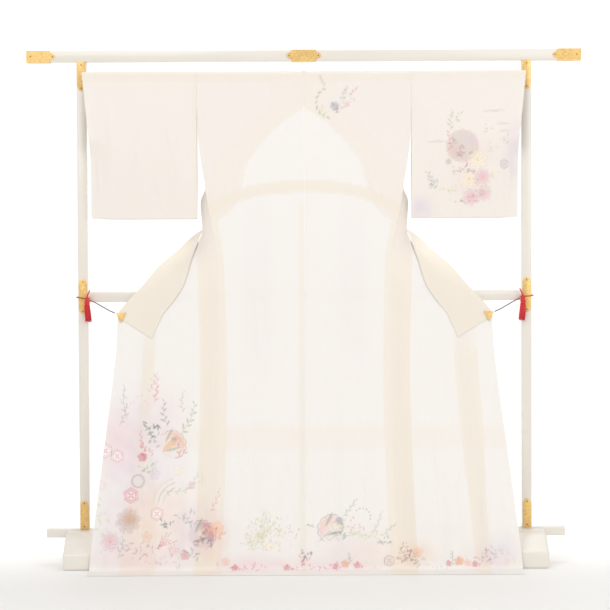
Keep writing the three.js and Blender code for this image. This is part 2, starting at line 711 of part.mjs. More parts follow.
// The cord's route from the knot to the clip. `out` is the distance from the middle plane.
const cordRoute = [
  { out: 685.8, y: -27.4, z: 844.5 },
  { out: 670, y: -31, z: 838 },
  { out: 648, y: -35.5, z: 826 },
  { out: 624, y: -39.6, z: 812.5 },
  { out: 602.4, y: -42.6, z: 802.6 },
];

// The loop that ties the cord round the post. It passes the middle rail above it.
const loopRoute = [
  { out: 698.5, y: -20.4, z: 849 },
  { out: 707, y: -19.4, z: 852 },
  { out: 720, y: -19.8, z: 852 },
  { out: 727.4, y: -15.5, z: 853 },
  { out: 726.6, y: 0, z: 858 },
  { out: 727.4, y: 15.5, z: 864 },
  { out: 720, y: 20, z: 869 },
  { out: 707, y: 19.4, z: 873 },
  { out: 693, y: 20, z: 876.5 },
  { out: 686.6, y: 15, z: 878 },
  { out: 687.2, y: 0, z: 877 },
  { out: 686.6, y: -15, z: 872 },
  { out: 688.5, y: -22, z: 863 },
  { out: 690.6, y: -25.2, z: 855 },
];

const tasselStrands = 18;
const tasselLength = 72;

// The knot, the tassel's bound head and its strands, in one piece.
function tasselGeometry(side) {
  const x = side * knot.out;
  const ball = new THREE.SphereGeometry(knotRadius, 12, 8);
  ball.translate(x, knot.y, knot.z);
  const headTop = knot.z - knotRadius + 3;
  const head = new THREE.CylinderGeometry(4, 6, 16, 12);
  head.rotateX(Math.PI / 2);
  head.translate(x, knot.y, headTop - 8);
  let solid = solidOf(ball).add(solidOf(head));
  const headBottom = headTop - 16;
  for (const index of range(tasselStrands)) {
    const ring = index < 6 ? 0.42 : 1;
    const turn = 2 * Math.PI * index / (index < 6 ? 6 : tasselStrands - 6);
    const length = tasselLength - 16 - 3 * ((index * 7) % 4);
    const strand = new THREE.CylinderGeometry(0.8, 0.8, length + 2, 3);
    strand.rotateX(Math.PI / 2);
    strand.rotateZ(index);
    strand.translate(0, 0, -length / 2 + 1);
    const flare = 0.045 * ring;
    const lean = new THREE.Matrix4().makeRotationAxis(
      new THREE.Vector3(-Math.sin(turn), Math.cos(turn), 0), -flare,
    );
    strand.applyMatrix4(lean);
    strand.translate(x + 4.4 * ring * Math.cos(turn), knot.y + 4.4 * ring * Math.sin(turn), headBottom);
    solid = solid.add(solidOf(strand));
  }
  return geometryFrom(solid);
}

// A folded triangle of sheet brass over the collar's corner, open towards the cloth.
function clipGeometry(side) {
  const share = 0.965;
  const z = 790;
  const centre = onFront(side, share, riseOf(z), collarSections[0].lift / 2);
  const out = frontOut(side, share, riseOf(z)).normalize();
  const up = out.clone().cross(new THREE.Vector3(1, 0, 0)).normalize();
  const across = up.clone().cross(out);
  out.copy(across.clone().cross(up));
  const outline = new THREE.Shape();
  outline.moveTo(-clipWidth / 2, clipHeight / 2);
  outline.lineTo(clipWidth / 2, clipHeight / 2);
  outline.lineTo(0, -clipHeight / 2);
  outline.closePath();
  const block = new THREE.ExtrudeGeometry(outline, { depth: clipThickness, bevelEnabled: false });
  block.translate(0, 0, -clipThickness / 2);
  const slot = new THREE.BoxGeometry(2 * clipWidth, 2 * clipHeight, clipSlot);
  const fold = boxAt(side < 0 ? [-clipWidth, -clipFold] : [clipFold, clipWidth], [6, 30], [-10, 10]);
  const solid = solidOf(block).subtract(solidOf(slot)).add(solidOf(block).intersect(solidOf(fold)));
  const geometry = geometryFrom(solid);
  return geometry.applyMatrix4(new THREE.Matrix4().makeBasis(across, up, out))
    .translate(centre.x, centre.y, centre.z - 3);
}

// ---------------------------------------------------------------- the whole
function buildKimono(kimono) {
  kimono.add(meshOf('collar', clothWall(collarGrid()), gauze));
  kimono.add(meshOf('back_seam_allowance', clothWall(backAllowanceGrid()), doubled));
  for (const [side, label] of [[-1, 'left'], [1, 'right']]) {
    kimono.add(meshOf(`body_${label}`, clothWall(bodyGrid(side)), gauze));
    kimono.add(meshOf(`okumi_${label}`, clothWall(okumiGrid(side)), gauze));
    kimono.add(meshOf(`sleeve_${label}`, clothWall(sleeveGrid(side), true), gauze));
    kimono.add(meshOf(`back_tuck_${label}`, clothWall(tuckGrid(side)), doubled));
    const bodyCell = (rise) => seamShare(rise) / bodyColumns;
    kimono.add(meshOf(`side_allowance_${label}`, clothWall(allowanceGrid(
      side, () => 0, sideAllowanceCells, 950, bodyCell,
    )), doubled));
    const okumiCell = (rise) => (1 - seamShare(rise)) / okumiColumns;
    kimono.add(meshOf(`okumi_allowance_${label}`, clothWall(allowanceGrid(
      side, seamShare, okumiAllowanceCells, 750, okumiCell,
    )), doubled));
  }
}

function buildTies(ties) {
  for (const [side, label] of [[-1, 'left'], [1, 'right']]) {
    const place = (row) => new THREE.Vector3(side * row.out, row.y, row.z);
    ties.add(meshOf(`cord_${label}`, cordTube(cordRoute.map(place), 12), silk));
    ties.add(meshOf(`post_loop_${label}`, cordTube(loopRoute.map(place), 28), silk));
    ties.add(meshOf(`tassel_${label}`, tasselGeometry(side), silk));
    ties.add(meshOf(`clip_${label}`, clipGeometry(side), gilt));
  }
}

const whole = new THREE.Group();
buildRack(whole);
buildKimono(whole);
buildTies(whole);
whole.position.y = middleY;

export default whole;
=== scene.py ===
# A see-through summer kimono hung from the back on a lacquered rack, in metres, +Z up.
import bpy
import math
import numpy as np
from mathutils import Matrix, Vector


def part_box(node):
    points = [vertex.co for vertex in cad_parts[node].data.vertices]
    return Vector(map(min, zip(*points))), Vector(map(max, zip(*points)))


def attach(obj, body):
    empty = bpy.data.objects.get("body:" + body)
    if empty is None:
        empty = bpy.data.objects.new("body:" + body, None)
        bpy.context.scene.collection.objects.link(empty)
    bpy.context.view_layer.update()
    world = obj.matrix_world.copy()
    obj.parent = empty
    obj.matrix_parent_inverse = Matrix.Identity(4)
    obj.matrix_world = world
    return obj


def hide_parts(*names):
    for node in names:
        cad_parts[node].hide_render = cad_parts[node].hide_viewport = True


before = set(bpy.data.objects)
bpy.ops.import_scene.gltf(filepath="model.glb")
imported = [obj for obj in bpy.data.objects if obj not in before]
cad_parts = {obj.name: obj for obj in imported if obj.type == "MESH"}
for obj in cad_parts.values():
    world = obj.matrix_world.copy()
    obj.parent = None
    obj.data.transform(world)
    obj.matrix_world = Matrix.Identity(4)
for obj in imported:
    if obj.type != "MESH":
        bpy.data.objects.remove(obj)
bpy.ops.object.select_all(action="DESELECT")
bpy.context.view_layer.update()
mm = 0.001

# ------------------------------------------------ camera
camera = {"height": 0.992, "distance": 6.0, "lens": 110.9, "pitch": 1.6, "roll": 0.27,
          "shiftX": 0.0006}
middleY = 52.5                        # from the posts' plane to the origin, in mm

cameraData = bpy.data.cameras.new("camera")
cameraData.sensor_width = 36
cameraData.lens = camera["lens"]
cameraData.shift_x = camera["shiftX"]
cameraObject = bpy.data.objects.new("camera", cameraData)
cameraObject.location = (0, middleY * mm - camera["distance"], camera["height"])
cameraObject.rotation_euler = (math.radians(90 - camera["pitch"]), math.radians(camera["roll"]), 0)
bpy.context.scene.collection.objects.link(cameraObject)
bpy.context.scene.camera = cameraObject
print("camera set")


# ------------------------------------------------ node materials
class Socket:
    def __init__(self, tree, link):
        self.tree = tree
        self.link = link

    def work(self, operation, *values):
        node = self.tree.nodes.new("ShaderNodeMath")
        node.operation = operation
        for index, value in enumerate(values):
            plug(self.tree, node.inputs[index], value)
        return Socket(self.tree, node.outputs[0])

    def __add__(self, other):
        return self.work("ADD", self, other)

    __radd__ = __add__

    def __mul__(self, other):
        return self.work("MULTIPLY", self, other)

    __rmul__ = __mul__

    def __sub__(self, other):
        return self.work("SUBTRACT", self, other)

    def __rsub__(self, other):
        return self.work("SUBTRACT", other, self)


def plug(tree, target, value):
    if isinstance(value, Socket):
        tree.links.new(value.link, target)
    else:
        target.default_value = value


class Finish:
    # one material and its Principled shader
    def __init__(self, name, **uniform):
        self.material = bpy.data.materials.new(name)
        self.material.use_nodes = True
        self.tree = self.material.node_tree
        self.shader = self.tree.nodes["Principled BSDF"]
        for socketName, value in uniform.items():
            self.shader.inputs[socketName.replace("_", " ")].default_value = value

    def node(self, kind, settings=None, output=0, **sockets):
        made = self.tree.nodes.new("ShaderNode" + kind)
        for key, value in (settings or {}).items():
            setattr(made, key, value)
        for key, value in sockets.items():
            plug(self.tree, made.inputs[key.replace("_", " ")], value)
        return Socket(self.tree, made.outputs[output])

    def place(self):
        return self.node("TexCoord", output="Object")

    def blend(self, share, first, second, way="MIX"):
        made = self.tree.nodes.new("ShaderNodeMix")
        made.data_type = "RGBA"
        made.blend_type = way
        plug(self.tree, made.inputs[0], share)
        plug(self.tree, made.inputs[6], first)
        plug(self.tree, made.inputs[7], second)
        return Socket(self.tree, made.outputs[2])

    def feed(self, socketName, value):
        plug(self.tree, self.shader.inputs[socketName], value)

    def bump(self, height, strength, distance):
        normal = self.node("Bump", Height=height, Strength=strength, Distance=distance)
        self.feed("Normal", normal)


def lacquerFinish():
    # off-white lacquer, a little yellowed, with a faint brushed waviness
    finish = Finish("lacquer", Roughness=0.3, Coat_Weight=0.35, Coat_Roughness=0.12)
    wide = finish.node("TexNoise", Vector=finish.place(), Scale=3.5, Detail=3.0)
    fine = finish.node("TexNoise", Vector=finish.place(), Scale=240.0, Detail=2.0)
    finish.feed("Base Color", finish.blend(wide, (0.765, 0.715, 0.635, 1), (0.83, 0.785, 0.72, 1)))
    finish.feed("Roughness", 0.24 + wide * 0.12 + fine * 0.06)
    finish.bump(fine * 0.4 + wide, 0.12, 0.001)
    return finish.material


def giltFinish():
    # gilt sheet, chased all over with small scrolls, rubbed a little paler in places
    finish = Finish("gilt", Metallic=0.6, Roughness=0.38)
    scroll = finish.node("TexVoronoi", {"feature": "SMOOTH_F1"}, Vector=finish.place(), Scale=170.0)
    wave = finish.node("TexWave", {"wave_type": "RINGS"}, Vector=finish.place(), Scale=60.0,
                       Distortion=9.0, Detail=2.0, Detail_Scale=3.0)
    worn = finish.node("TexNoise", Vector=finish.place(), Scale=45.0, Detail=4.0)
    chased = scroll * 0.6 + wave * 0.4
    dark = finish.blend(worn, (0.62, 0.33, 0.07, 1), (0.80, 0.50, 0.16, 1))
    finish.feed("Base Color", finish.blend(chased, dark, (0.98, 0.73, 0.33, 1)))
    finish.feed("Roughness", 0.26 + worn * 0.25)
    finish.bump(chased, 0.5, 0.0008)
    return finish.material


def silkCordFinish(name, colour, pale):
    # twisted or loose silk: fine slanting strands with a soft sheen
    finish = Finish(name, Roughness=0.55, Sheen_Weight=0.2, Sheen_Roughness=0.4)
    strand = finish.node("TexWave", Vector=finish.place(), Scale=520.0, Distortion=2.5, Detail=2.0)
    mottled = finish.node("TexNoise", Vector=finish.place(), Scale=120.0, Detail=3.0)
    finish.feed("Base Color", finish.blend(strand * 0.6 + mottled * 0.4, colour, pale))
    finish.bump(strand, 0.5, 0.0006)
    return finish.material


def shadedCordFinish():
    # red at the knots, turning to a dull plum towards the clips
    finish = Finish("shaded silk cord", Roughness=0.55, Sheen_Weight=0.15, Sheen_Roughness=0.4)
    strand = finish.node("TexWave", Vector=finish.place(), Scale=520.0, Distortion=2.5, Detail=2.0)
    across = finish.node("SeparateXYZ", Vector=finish.place(), output="X")
    away = finish.node("MapRange", {"interpolation_type": "SMOOTHSTEP"}, output="Result",
                       Value=across.work("ABSOLUTE", across), From_Min=0.684, From_Max=0.655)
    red = finish.blend(strand, (0.36, 0.008, 0.012, 1), (0.55, 0.03, 0.035, 1))
    plum = finish.blend(strand, (0.055, 0.022, 0.026, 1), (0.10, 0.045, 0.05, 1))
    finish.feed("Base Color", finish.blend(away, red, plum))
    finish.bump(strand, 0.5, 0.0006)
    return finish.material


def gauzeFinish(name, alpha):
    # painted silk gauze: dyed colours from the cloth's own painting, with painted shade of doubled layers
    # and folds in the same colours, a leno weave in fine cross ribs, and thread gaps that let some light
    # through
    finish = Finish(name, Roughness=0.72, Sheen_Weight=0.25, Sheen_Roughness=0.45)
    painted = finish.node("Attribute", {"attribute_name": "dyeAndShadeColour"}, output="Color")
    around = finish.node("UVMap", {"uv_map": "cloth"})
    ribs = finish.node("TexWave", {"bands_direction": "Y"}, Vector=around, Scale=310.0,
                       Distortion=0.6, Detail=1.0)
    threads = finish.node("TexWave", {"bands_direction": "X"}, Vector=around, Scale=420.0,
                          Distortion=0.4)
    slub = finish.node("TexNoise", Vector=around, Scale=60.0, Detail=4.0)
    shade = 0.965 + ribs * 0.03 + slub * 0.02
    tint = finish.node("CombineColor", Red=shade, Green=shade, Blue=shade * 0.998)
    finish.feed("Base Color", finish.blend(1.0, painted, tint, "MULTIPLY"))
    weave = ribs * 0.6 + threads * 0.4
    finish.feed("Alpha", alpha - 0.05 + weave * 0.1)
    finish.feed("Roughness", 0.66 + slub * 0.16)
    finish.bump(weave + slub * 0.5, 0.25, 0.0004)
    return finish.material


def nailFinish():
    # dark copper, rubbed on its domes
    finish = Finish("nail", Metallic=0.8, Roughness=0.4)
    worn = finish.node("TexNoise", Vector=finish.place(), Scale=300.0, Detail=2.0)
    finish.feed("Base Color", finish.blend(worn, (0.30, 0.09, 0.04, 1), (0.62, 0.30, 0.12, 1)))
    return finish.material


def floorFinish():
    # plain pale ground, a little darker towards its front: it glows, barely at the front and brightly
    # towards the back and up the backdrop, painted light for a brightly lit studio
    finish = Finish("pale ground", Roughness=0.55)
    cloudy = finish.node("TexNoise", Vector=finish.place(), Scale=1.2, Detail=2.0)
    finish.feed("Base Color", finish.blend(cloudy, (0.80, 0.79, 0.77, 1), (0.84, 0.83, 0.815, 1)))
    apart = finish.node("SeparateXYZ", Vector=finish.place(), output="Y")
    far = finish.node("MapRange", {"interpolation_type": "SMOOTHSTEP"}, Value=apart, From_Min=-0.5,
                      From_Max=1.1, output="Result")
    # painted light: the ground glows more and more towards the back and up the backdrop
    finish.shader.inputs["Emission Strength"].default_value = 1.0
    finish.feed("Emission Color", finish.blend(far, (0.02, 0.02, 0.02, 1), (0.42, 0.42, 0.415, 1)))
    return finish.material


finishes = {
    "nail": nailFinish(),
    "lacquer": lacquerFinish(),
    "gilt": giltFinish(),
    "cord": shadedCordFinish(),
    "loop": silkCordFinish("red silk cord", (0.42, 0.01, 0.012, 1), (0.62, 0.035, 0.03, 1)),
    "tassel": silkCordFinish("red silk floss", (0.70, 0.012, 0.025, 1), (0.90, 0.045, 0.05, 1)),
    "gauze": gauzeFinish("painted gauze", 0.985),
    "doubled": gauzeFinish("spare gauze", 0.9),
}
print("finishes made")


# ------------------------------------------------ cords
cordRoute = [(685.8, -27.4, 844.5), (670, -31, 838), (648, -35.5, 826), (624, -39.6, 812.5),
             (602.4, -42.6, 802.6)]
loopRoute = [(698.5, -20.4, 849), (707, -19.4, 850), (720, -19.8, 851.5), (727.4, -15.5, 852.5),
             (726.6, 0, 853), (727.4, 15.5, 853), (720, 20, 853), (707, 19.4, 853),
             (693, 20, 852.5), (686.6, 15, 852), (687.2, 0, 851), (686.6, -15, 850),
             (688.5, -22, 848.5), (690.6, -25.2, 847)]
cordSettings = {"diameter": 3.0, "steps": 12, "loopSteps": 8, "sides": 10}
knotSettings = {
    "out": 693, "y": -27, "z": 847, "radius": 7,
    "turns": ((0.2, 3.9), (1.3, 4.6), (2.3, 4.2)), "cord": 2.3,
    "freeEnd": [(0, 0, 3), (-1.5, -1, 9), (-4, -2, 16), (-7.5, -2, 23), (-10, -1, 28.5)],
    "freeEndRadii": [2.2, 2.2, 2.1, 2.0, 1.9],
}
tasselSettings = {
    "length": 72, "head": [(0, 0, 2), (0, 0, -2), (0.4, 0, -8), (0.6, 0, -13), (0.8, 0, -16)],
    "headRadii": [4.8, 7.0, 8.2, 8.0, 8.2],
    "bindings": (-5.5, -7.2, -8.9), "bindingOut": 7.9, "bindingRadius": 0.9,
    "strands": 60, "uneven": 9, "spread": 8.2, "flare": 0.28, "lean": 4.5,
    "strandRadii": [1.3, 1.3, 1.25, 1.25, 1.2, 1.1, 0.6],
}
goldenTurn = 2.39996


def toFrame(points):
    made = np.asarray(points, float) * mm
    made[..., 1] += middleY * mm
    return made


def smoothRoute(points, steps):
    # a Catmull-Rom line through the points
    points = np.asarray(points, float)
    ends = np.vstack([2 * points[0] - points[1], points, 2 * points[-1] - points[-2]])
    line = []
    for index in range(1, len(ends) - 2):
        a, b, c, d = ends[index - 1:index + 3]
        for share in np.linspace(0, 1, steps, endpoint=False):
            line.append(0.5 * (2 * b + (c - a) * share + (2 * a - 5 * b + 4 * c - d) * share ** 2
                               + (3 * b - a - 3 * c + d) * share ** 3))
    line.append(ends[-2])
    return np.array(line)


def cordCurve(name, line, diameter, material):
    data = bpy.data.curves.new(name, "CURVE")
    data.dimensions = "3D"
    data.bevel_depth = diameter * mm / 2
    data.bevel_resolution = 2
    data.use_fill_caps = True
    spline = data.splines.new("POLY")
    spline.points.add(len(line) - 1)
    for point, place in zip(spline.points, toFrame(line)):
        point.co = (*place, 1)
    data.materials.append(material)
    made = bpy.data.objects.new(name.replace(" ", "-"), data)
    bpy.context.scene.collection.objects.link(made)
    return made


def meshFrom(name, vertices, faces, materials):
    data = bpy.data.meshes.new(name)
    data.from_pydata([tuple(place) for place in vertices], [], faces)
    for material in materials:
        data.materials.append(material)
    data.shade_smooth()
    made = bpy.data.objects.new(name.replace(" ", "-"), data)
    bpy.context.scene.collection.objects.link(made)
    return made


def tubeAlong(line, radius, sides, start=0):
    # vertices and faces of a thin tube round a line, its ends drawn in
    line = np.asarray(line, float)
    radius = np.broadcast_to(radius, (len(line),))
    heading = np.gradient(line, axis=0)
    heading /= np.linalg.norm(heading, axis=1)[:, None]
    side = np.cross(heading, (0.31, 0.52, 0.79))
    side /= np.linalg.norm(side, axis=1)[:, None]
    other = np.cross(heading, side)
    vertices, faces = [], []
    for index, place in enumerate(line):
        for corner in range(sides):
            turn = 2 * math.pi * corner / sides
            vertices.append(place + radius[index] * (math.cos(turn) * side[index]
                                                      + math.sin(turn) * other[index]))
    for index in range(len(line) - 1):
        for corner in range(sides):
            a, b = index * sides + corner, index * sides + (corner + 1) % sides
            faces.append((start + a, start + b, start + b + sides, start + a + sides))
    faces.append(tuple(start + corner for corner in reversed(range(sides))))
    faces.append(tuple(start + (len(line) - 1) * sides + corner for corner in range(sides)))
    return vertices, faces


def assign(made, node):
    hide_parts(node)
    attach(made, "root")


def tasselForm(side):
    # a wound knot with a free end that stands up beside it, and the tassel that hangs from it
    k, t = knotSettings, tasselSettings
    centre = np.array((side * k["out"], k["y"], k["z"]))
    flip = np.array((side, 1, 1))
    vertices, faces = [], []

    def add(line, radius, sides):
        more, joined = tubeAlong(line, radius, sides, start=len(vertices))
        vertices.extend(more)
        faces.extend(joined)

    turn = np.linspace(0, 2 * math.pi, 25)
    for tilt, spread in k["turns"]:
        ring = np.stack([np.cos(turn) * spread, np.sin(turn) * 1.6, np.sin(turn) * spread], 1)
        turned = np.stack([ring[:, 0] * math.cos(tilt) - ring[:, 2] * math.sin(tilt), ring[:, 1] * 2.2,
                           ring[:, 0] * math.sin(tilt) + ring[:, 2] * math.cos(tilt)], 1)
        add(centre + turned, k["cord"], 8)
    add(centre + np.array(k["freeEnd"]) * flip, k["freeEndRadii"], 8)

    headTop = k["z"] - k["radius"] + 3
    add(np.array(t["head"]) + (centre[0], centre[1], headTop), t["headRadii"], 16)
    turn = np.linspace(0, 2 * math.pi, 21)
    for level in t["bindings"]:
        add(np.stack([centre[0] + 0.4 + t["bindingOut"] * np.cos(turn),
                      centre[1] + t["bindingOut"] * np.sin(turn),
                      np.full(21, headTop + level)], 1), t["bindingRadius"], 6)
    rng = np.random.default_rng(5 + side)
    down = np.linspace(0, 1, len(t["strandRadii"]))
    for index in range(t["strands"]):
        ring = math.sqrt((index + 0.5) / t["strands"])
        turn = index * goldenTurn
        longest = t["length"] - 16 - t["uneven"] * rng.random()
        spread = t["spread"] * ring * (1 + t["flare"] * down ** 1.3)
        wave = 0.5 * np.sin(down * 7 + index)
        lean = t["lean"] * side * down ** 1.4
        strand = np.stack([centre[0] + 0.8 + spread * math.cos(turn) + wave - lean,
                           centre[1] + spread * math.sin(turn) * 0.8,
                           headTop - 15 - longest * down], 1)
        add(strand, np.array(t["strandRadii"]), 4)
    return vertices, faces


for side, label in ((-1, "left"), (1, "right")):
    flip = np.array((side, 1, 1))
    line = smoothRoute(cordRoute, cordSettings["steps"]) * flip
    cord = cordCurve("cord " + label, line, cordSettings["diameter"], finishes["cord"])
    assign(cord, "cord_" + label)
    tuple(toFrame(line[0]))

    # one turn round the post
    loopLine = smoothRoute(loopRoute, cordSettings["loopSteps"]) * flip
    vertices, faces = tubeAlong(loopLine, cordSettings["diameter"] / 2, cordSettings["sides"])
    loop = meshFrom("post loop " + label, toFrame(vertices), faces, [finishes["loop"]])
    assign(loop, "post_loop_" + label)

    vertices, faces = tasselForm(side)
    tassel = meshFrom("tassel " + label, toFrame(vertices), faces, [finishes["tassel"]])
    assign(tassel, "tassel_" + label)
print("cords and tassels made")


# ------------------------------------------------ the garment's form
wall = 1.2
lapStep = 1.8
behindLap = 2.7                       # how far the spare cloth at a seam lies behind, clear of the front
rodY, rodZ, drapeRadius = -34, 1556.5, 9.2
hemReach, bendRadius, hemRun = 250, 14, 84
bendTop = 14.9
bendLength = bendRadius * math.pi / 2
hemRise = -(bendLength + hemRun)
shoulderHalf = 339

sideSections = {
    "z": [0, 73, 187, 360, 504, 683, 775, 806, 900, 950, 1000, 1053, 1110, 1165, 1215, 1280, 1350,
          1410, 1456, 1500, rodZ],
    "seamOut": [283, 281, 275, 270, 266, 266, 268, 269, 272, 274, 278, 287, 299, 309, 316, 327, 336,
                338, 339, 339, 339],
    "seamY": [-153, -150, -137, -113, -95, -78, -71, -69, -64, -61, -58, -55, -52, -50, -48, -46,
              -44, -43.4, -43.2, -43.2, -43.2],
    "edgeOut": [679, 671, 657, 636, 618, 598, 594, 590, 505, 462, 405, 348, 250, 208, 196, 178, 125,
                62, 0, 0, 0],
    "edgeY": [-153, -149, -133, -104, -80, -56, -44, -40, -22, 6, 46, 92, 118, 110, 94, 66, 30, 0,
              -18, -24.8, -24.8],
    "leave": [180, 180, 180, 180, 180, 180, 180, 180, 180, 176, 168, 160, 150, 132, 75, 40, 8, 2, 0,
              0, 0],
    "arrive": [180, 180, 180, 180, 180, 180, 180, 180, 175, 165, 150, 125, 65, 28, 20, 15, 10, 5, 0,
               0, 0],
    "reach": [396, 390, 382, 366, 352, 332, 326, 321, 236, 210, 220, 235, 255, 255, 200, 180, 215,
              277, 339, 339, 339],
}
armholeLow = 1165
armholeDepth = {"z": [900, 1000, 1110, 1165, 1215, 1280, 1350, rodZ],
                "depth": [0, 1.2, 2.1, 2.3, 8, 15, 18.4, 18.4]}
okumiSeam = {"z": [0, 900, 1000, 1053, 1110, 1165, 1410, 1490, rodZ],
             "share": [0.632, 0.63, 0.57, 0.56, 0.61, 0.63, 0.628, 0.66, 0.735]}
okumiEdge = {"z": [0, 770, 806, 950, 1027], "share": [1, 1, 0.985, 0.76, 0.6]}
collarSections = {
    "freeZ": [790, 806, 850, 900, 950, 1000, 1053, 1110, 1165, 1215, 1280, 1350, 1400, 1436, 1450,
              1456],
    "seamShare": [0.66, 0.64, 0.58, 0.51, 0.46, 0.46, 0.52, 0.58, 0.6, 0.57, 0.47, 0.45, 0.55, 0.72,
                  0.86, 1],
    "seamZ": [722, 740, 783, 830, 880, 935, 1005, 1085, 1165, 1240, 1330, 1425, 1490, rodZ - 6,
              rodZ + 5, rodZ + 9],
    "lift": [2.3, 2.3, 2.3, 3.7, 3.7, 3.7, 3.7, 2.3, 2.3, 2.3, 2.3, 2.3, 2.3, 2.3, 2.3, 2.3],
}
# soft upright folds: foot, half width, depth and the height where each has faded out
folds = [(-612, 46, 11, 620), (-470, 52, 9, 700), (-372, 44, 12, 760), (-232, 50, 10, 900),
         (-118, 58, 8, 1000), (12, 62, 9, 950), (128, 48, 11, 1020), (236, 52, 8, 880),
         (352, 50, 12, 720), (462, 44, 9, 740), (590, 54, 11, 600)]
# small creases over them: x, z, half width, half length, depth and lean
creases = [(-560, 300, 14, 240, 2.4, 0.05), (-516, 210, 11, 190, -2.2, -0.03),
           (-424, 330, 13, 260, 2.6, 0.04), (-322, 240, 12, 230, -2.4, -0.05),
           (-292, 520, 10, 210, 2.0, 0.02), (-180, 300, 15, 260, 2.4, 0.05),
           (-150, 760, 16, 230, 1.8, -0.08), (-62, 260, 13, 240, -2.2, 0.03),
           (70, 340, 14, 260, 2.5, -0.04), (92, 820, 18, 220, 1.8, 0.07),
           (178, 230, 12, 210, -2.4, 0.03), (286, 300, 12, 250, 2.6, -0.04),
           (300, 620, 10, 190, 1.8, 0.03), (404, 260, 13, 220, -2.5, -0.03),
           (506, 320, 14, 240, 2.6, 0.04), (545, 180, 12, 170, -2.0, -0.02),
           (-205, 1240, 22, 150, 2.2, 0.25), (214, 1215, 20, 160, 2.2, -0.3),
           (-90, 1400, 26, 110, 1.6, 0.4), (110, 1385, 24, 120, 1.6, -0.4)]


def ease(value):
    value = np.clip(value, 0, 1)
    return value ** 2 * (3 - 2 * value)


def mix(a, b, share):
    return a + (b - a) * share


def above(z, level, fade):
    # nothing at a level, and in full once it is passed by the fade
    return ease((z - level) / fade)


def below(z, level, fade):
    return ease((level - z) / fade)


def read(table, name, level):
    # a smooth curve through one column of a table
    levels, values = np.array(table["z"], float), np.array(table[name], float)
    level = np.clip(np.asarray(level, float), levels[0], levels[-1])
    row = np.clip(np.searchsorted(levels, level, side="left") - 1, 0, len(levels) - 2)
    rates = np.gradient(values)
    rates[1:-1] = (values[2:] - values[:-2]) / (levels[2:] - levels[:-2])
    rates[0] = (values[1] - values[0]) / (levels[1] - levels[0])
    rates[-1] = (values[-1] - values[-2]) / (levels[-1] - levels[-2])
    span = levels[row + 1] - levels[row]
    t = (level - levels[row]) / span
    a, d = values[row], values[row + 1]
    b, c = a + rates[row] * span / 3, d - rates[row + 1] * span / 3
    return a * (1 - t) ** 3 + 3 * b * t * (1 - t) ** 2 + 3 * c * t * t * (1 - t) + d * t ** 3


def addCreases(depth, table, across, z):
    for middle, level, halfWidth, halfLength, deep, lean in table:
        along = np.clip(np.abs(z - level) / halfLength, 0, 1)
        off = np.clip(np.abs(across - middle - lean * (z - level)) / halfWidth, 0, 1)
        depth += deep * (0.5 + 0.5 * np.cos(np.pi * off)) * (0.5 + 0.5 * np.cos(np.pi * along))
    return depth


def foldDepth(x, z):
    depth = np.zeros_like(x)
    for foot, halfWidth, deep, top in folds:
        fade = ease(1 - z / top)
        off = np.clip(np.abs(x - foot * mix(0.92, 1, fade)) / halfWidth, 0, 1)
        depth += deep * fade * (0.5 + 0.5 * np.cos(np.pi * off))
    return addCreases(depth, creases, x, z)


def heightOf(rise):
    return np.maximum(0, rise) + bendTop


def riseOf(z):
    return z - bendTop


def onFloor(points, rise):
    turn = np.clip(-rise / bendRadius, 0, np.pi / 2)
    run = np.clip((-rise - bendLength) / hemRun, 0, 1)
    bentY = points[..., 1] - bendRadius * (1 - np.cos(turn))
    low = rise < 0
    points[..., 1] = np.where(low, mix(bentY, -hemReach, run), points[..., 1])
    points[..., 2] = np.where(low, bendTop - bendRadius * np.sin(turn), points[..., 2])
    return points


def backPoint(side, share, rise):
    share, rise = np.broadcast_arrays(np.asarray(share, float), np.asarray(rise, float))
    z = heightOf(rise)
    x = side * share * read(sideSections, "seamOut", z)
    y = read(sideSections, "seamY", z) - foldDepth(x, z)
    return onFloor(np.stack([x, y, z], -1), rise)


def frontPoint(side, share, rise):
    share, rise = np.broadcast_arrays(np.asarray(share, float), np.asarray(rise, float))
    z = np.minimum(heightOf(rise), rodZ)
    row = {name: read(sideSections, name, z) for name in sideSections if name != "z"}
    leave, arrive = np.radians(row["leave"]), np.radians(row["arrive"])
    closed = 1 - above(z, armholeLow, 80)
    startX = row["seamOut"] + closed * (0.03 + np.sin(leave) * wall / 2)
    startY = row["seamY"] + read(armholeDepth, "depth", z)
    lead = row["reach"] / 3
    b = (startX - np.cos(leave) * lead, startY + np.sin(leave) * lead)
    c = (row["edgeOut"] + np.cos(arrive) * lead, row["edgeY"] - np.sin(arrive) * lead)
    t = share                             # along a Bezier curve from the side seam to the edge
    x, y = (start * (1 - t) ** 3 + 3 * inner * t * (1 - t) ** 2 + 3 * outer * t * t * (1 - t)
            + end * t ** 3
            for start, inner, outer, end in ((startX, b[0], c[0], row["edgeOut"]),
                                             (startY, b[1], c[1], row["edgeY"])))
    x = side * x
    over = np.maximum(0, heightOf(rise) - rodZ) / drapeRadius
    y = np.where(over > 0, rodY + drapeRadius * np.cos(over), y - foldDepth(x, z))
    z = np.where(over > 0, rodZ + drapeRadius * np.sin(over), z)
    return onFloor(np.stack([x, y, z], -1), rise)


def onFront(side, share, rise, out):
    across = frontPoint(side, share + 0.01, rise) - frontPoint(side, share - 0.01, rise)
    up = frontPoint(side, share, rise + 2) - frontPoint(side, share, rise - 2)
    square = np.cross(across, up)
    square /= np.linalg.norm(square, axis=-1)[..., None]
    return frontPoint(side, share, rise) + square * side * np.asarray(out)[..., None]


def seamShare(rise):
    return read(okumiSeam, "share", heightOf(rise))


# ------------------------------------------------ dyeing
def colour(red, green, blue):
    shade = np.array((red, green, blue)) / 255
    return np.where(shade <= 0.04045, shade / 12.92, ((shade + 0.055) / 1.055) ** 2.4)
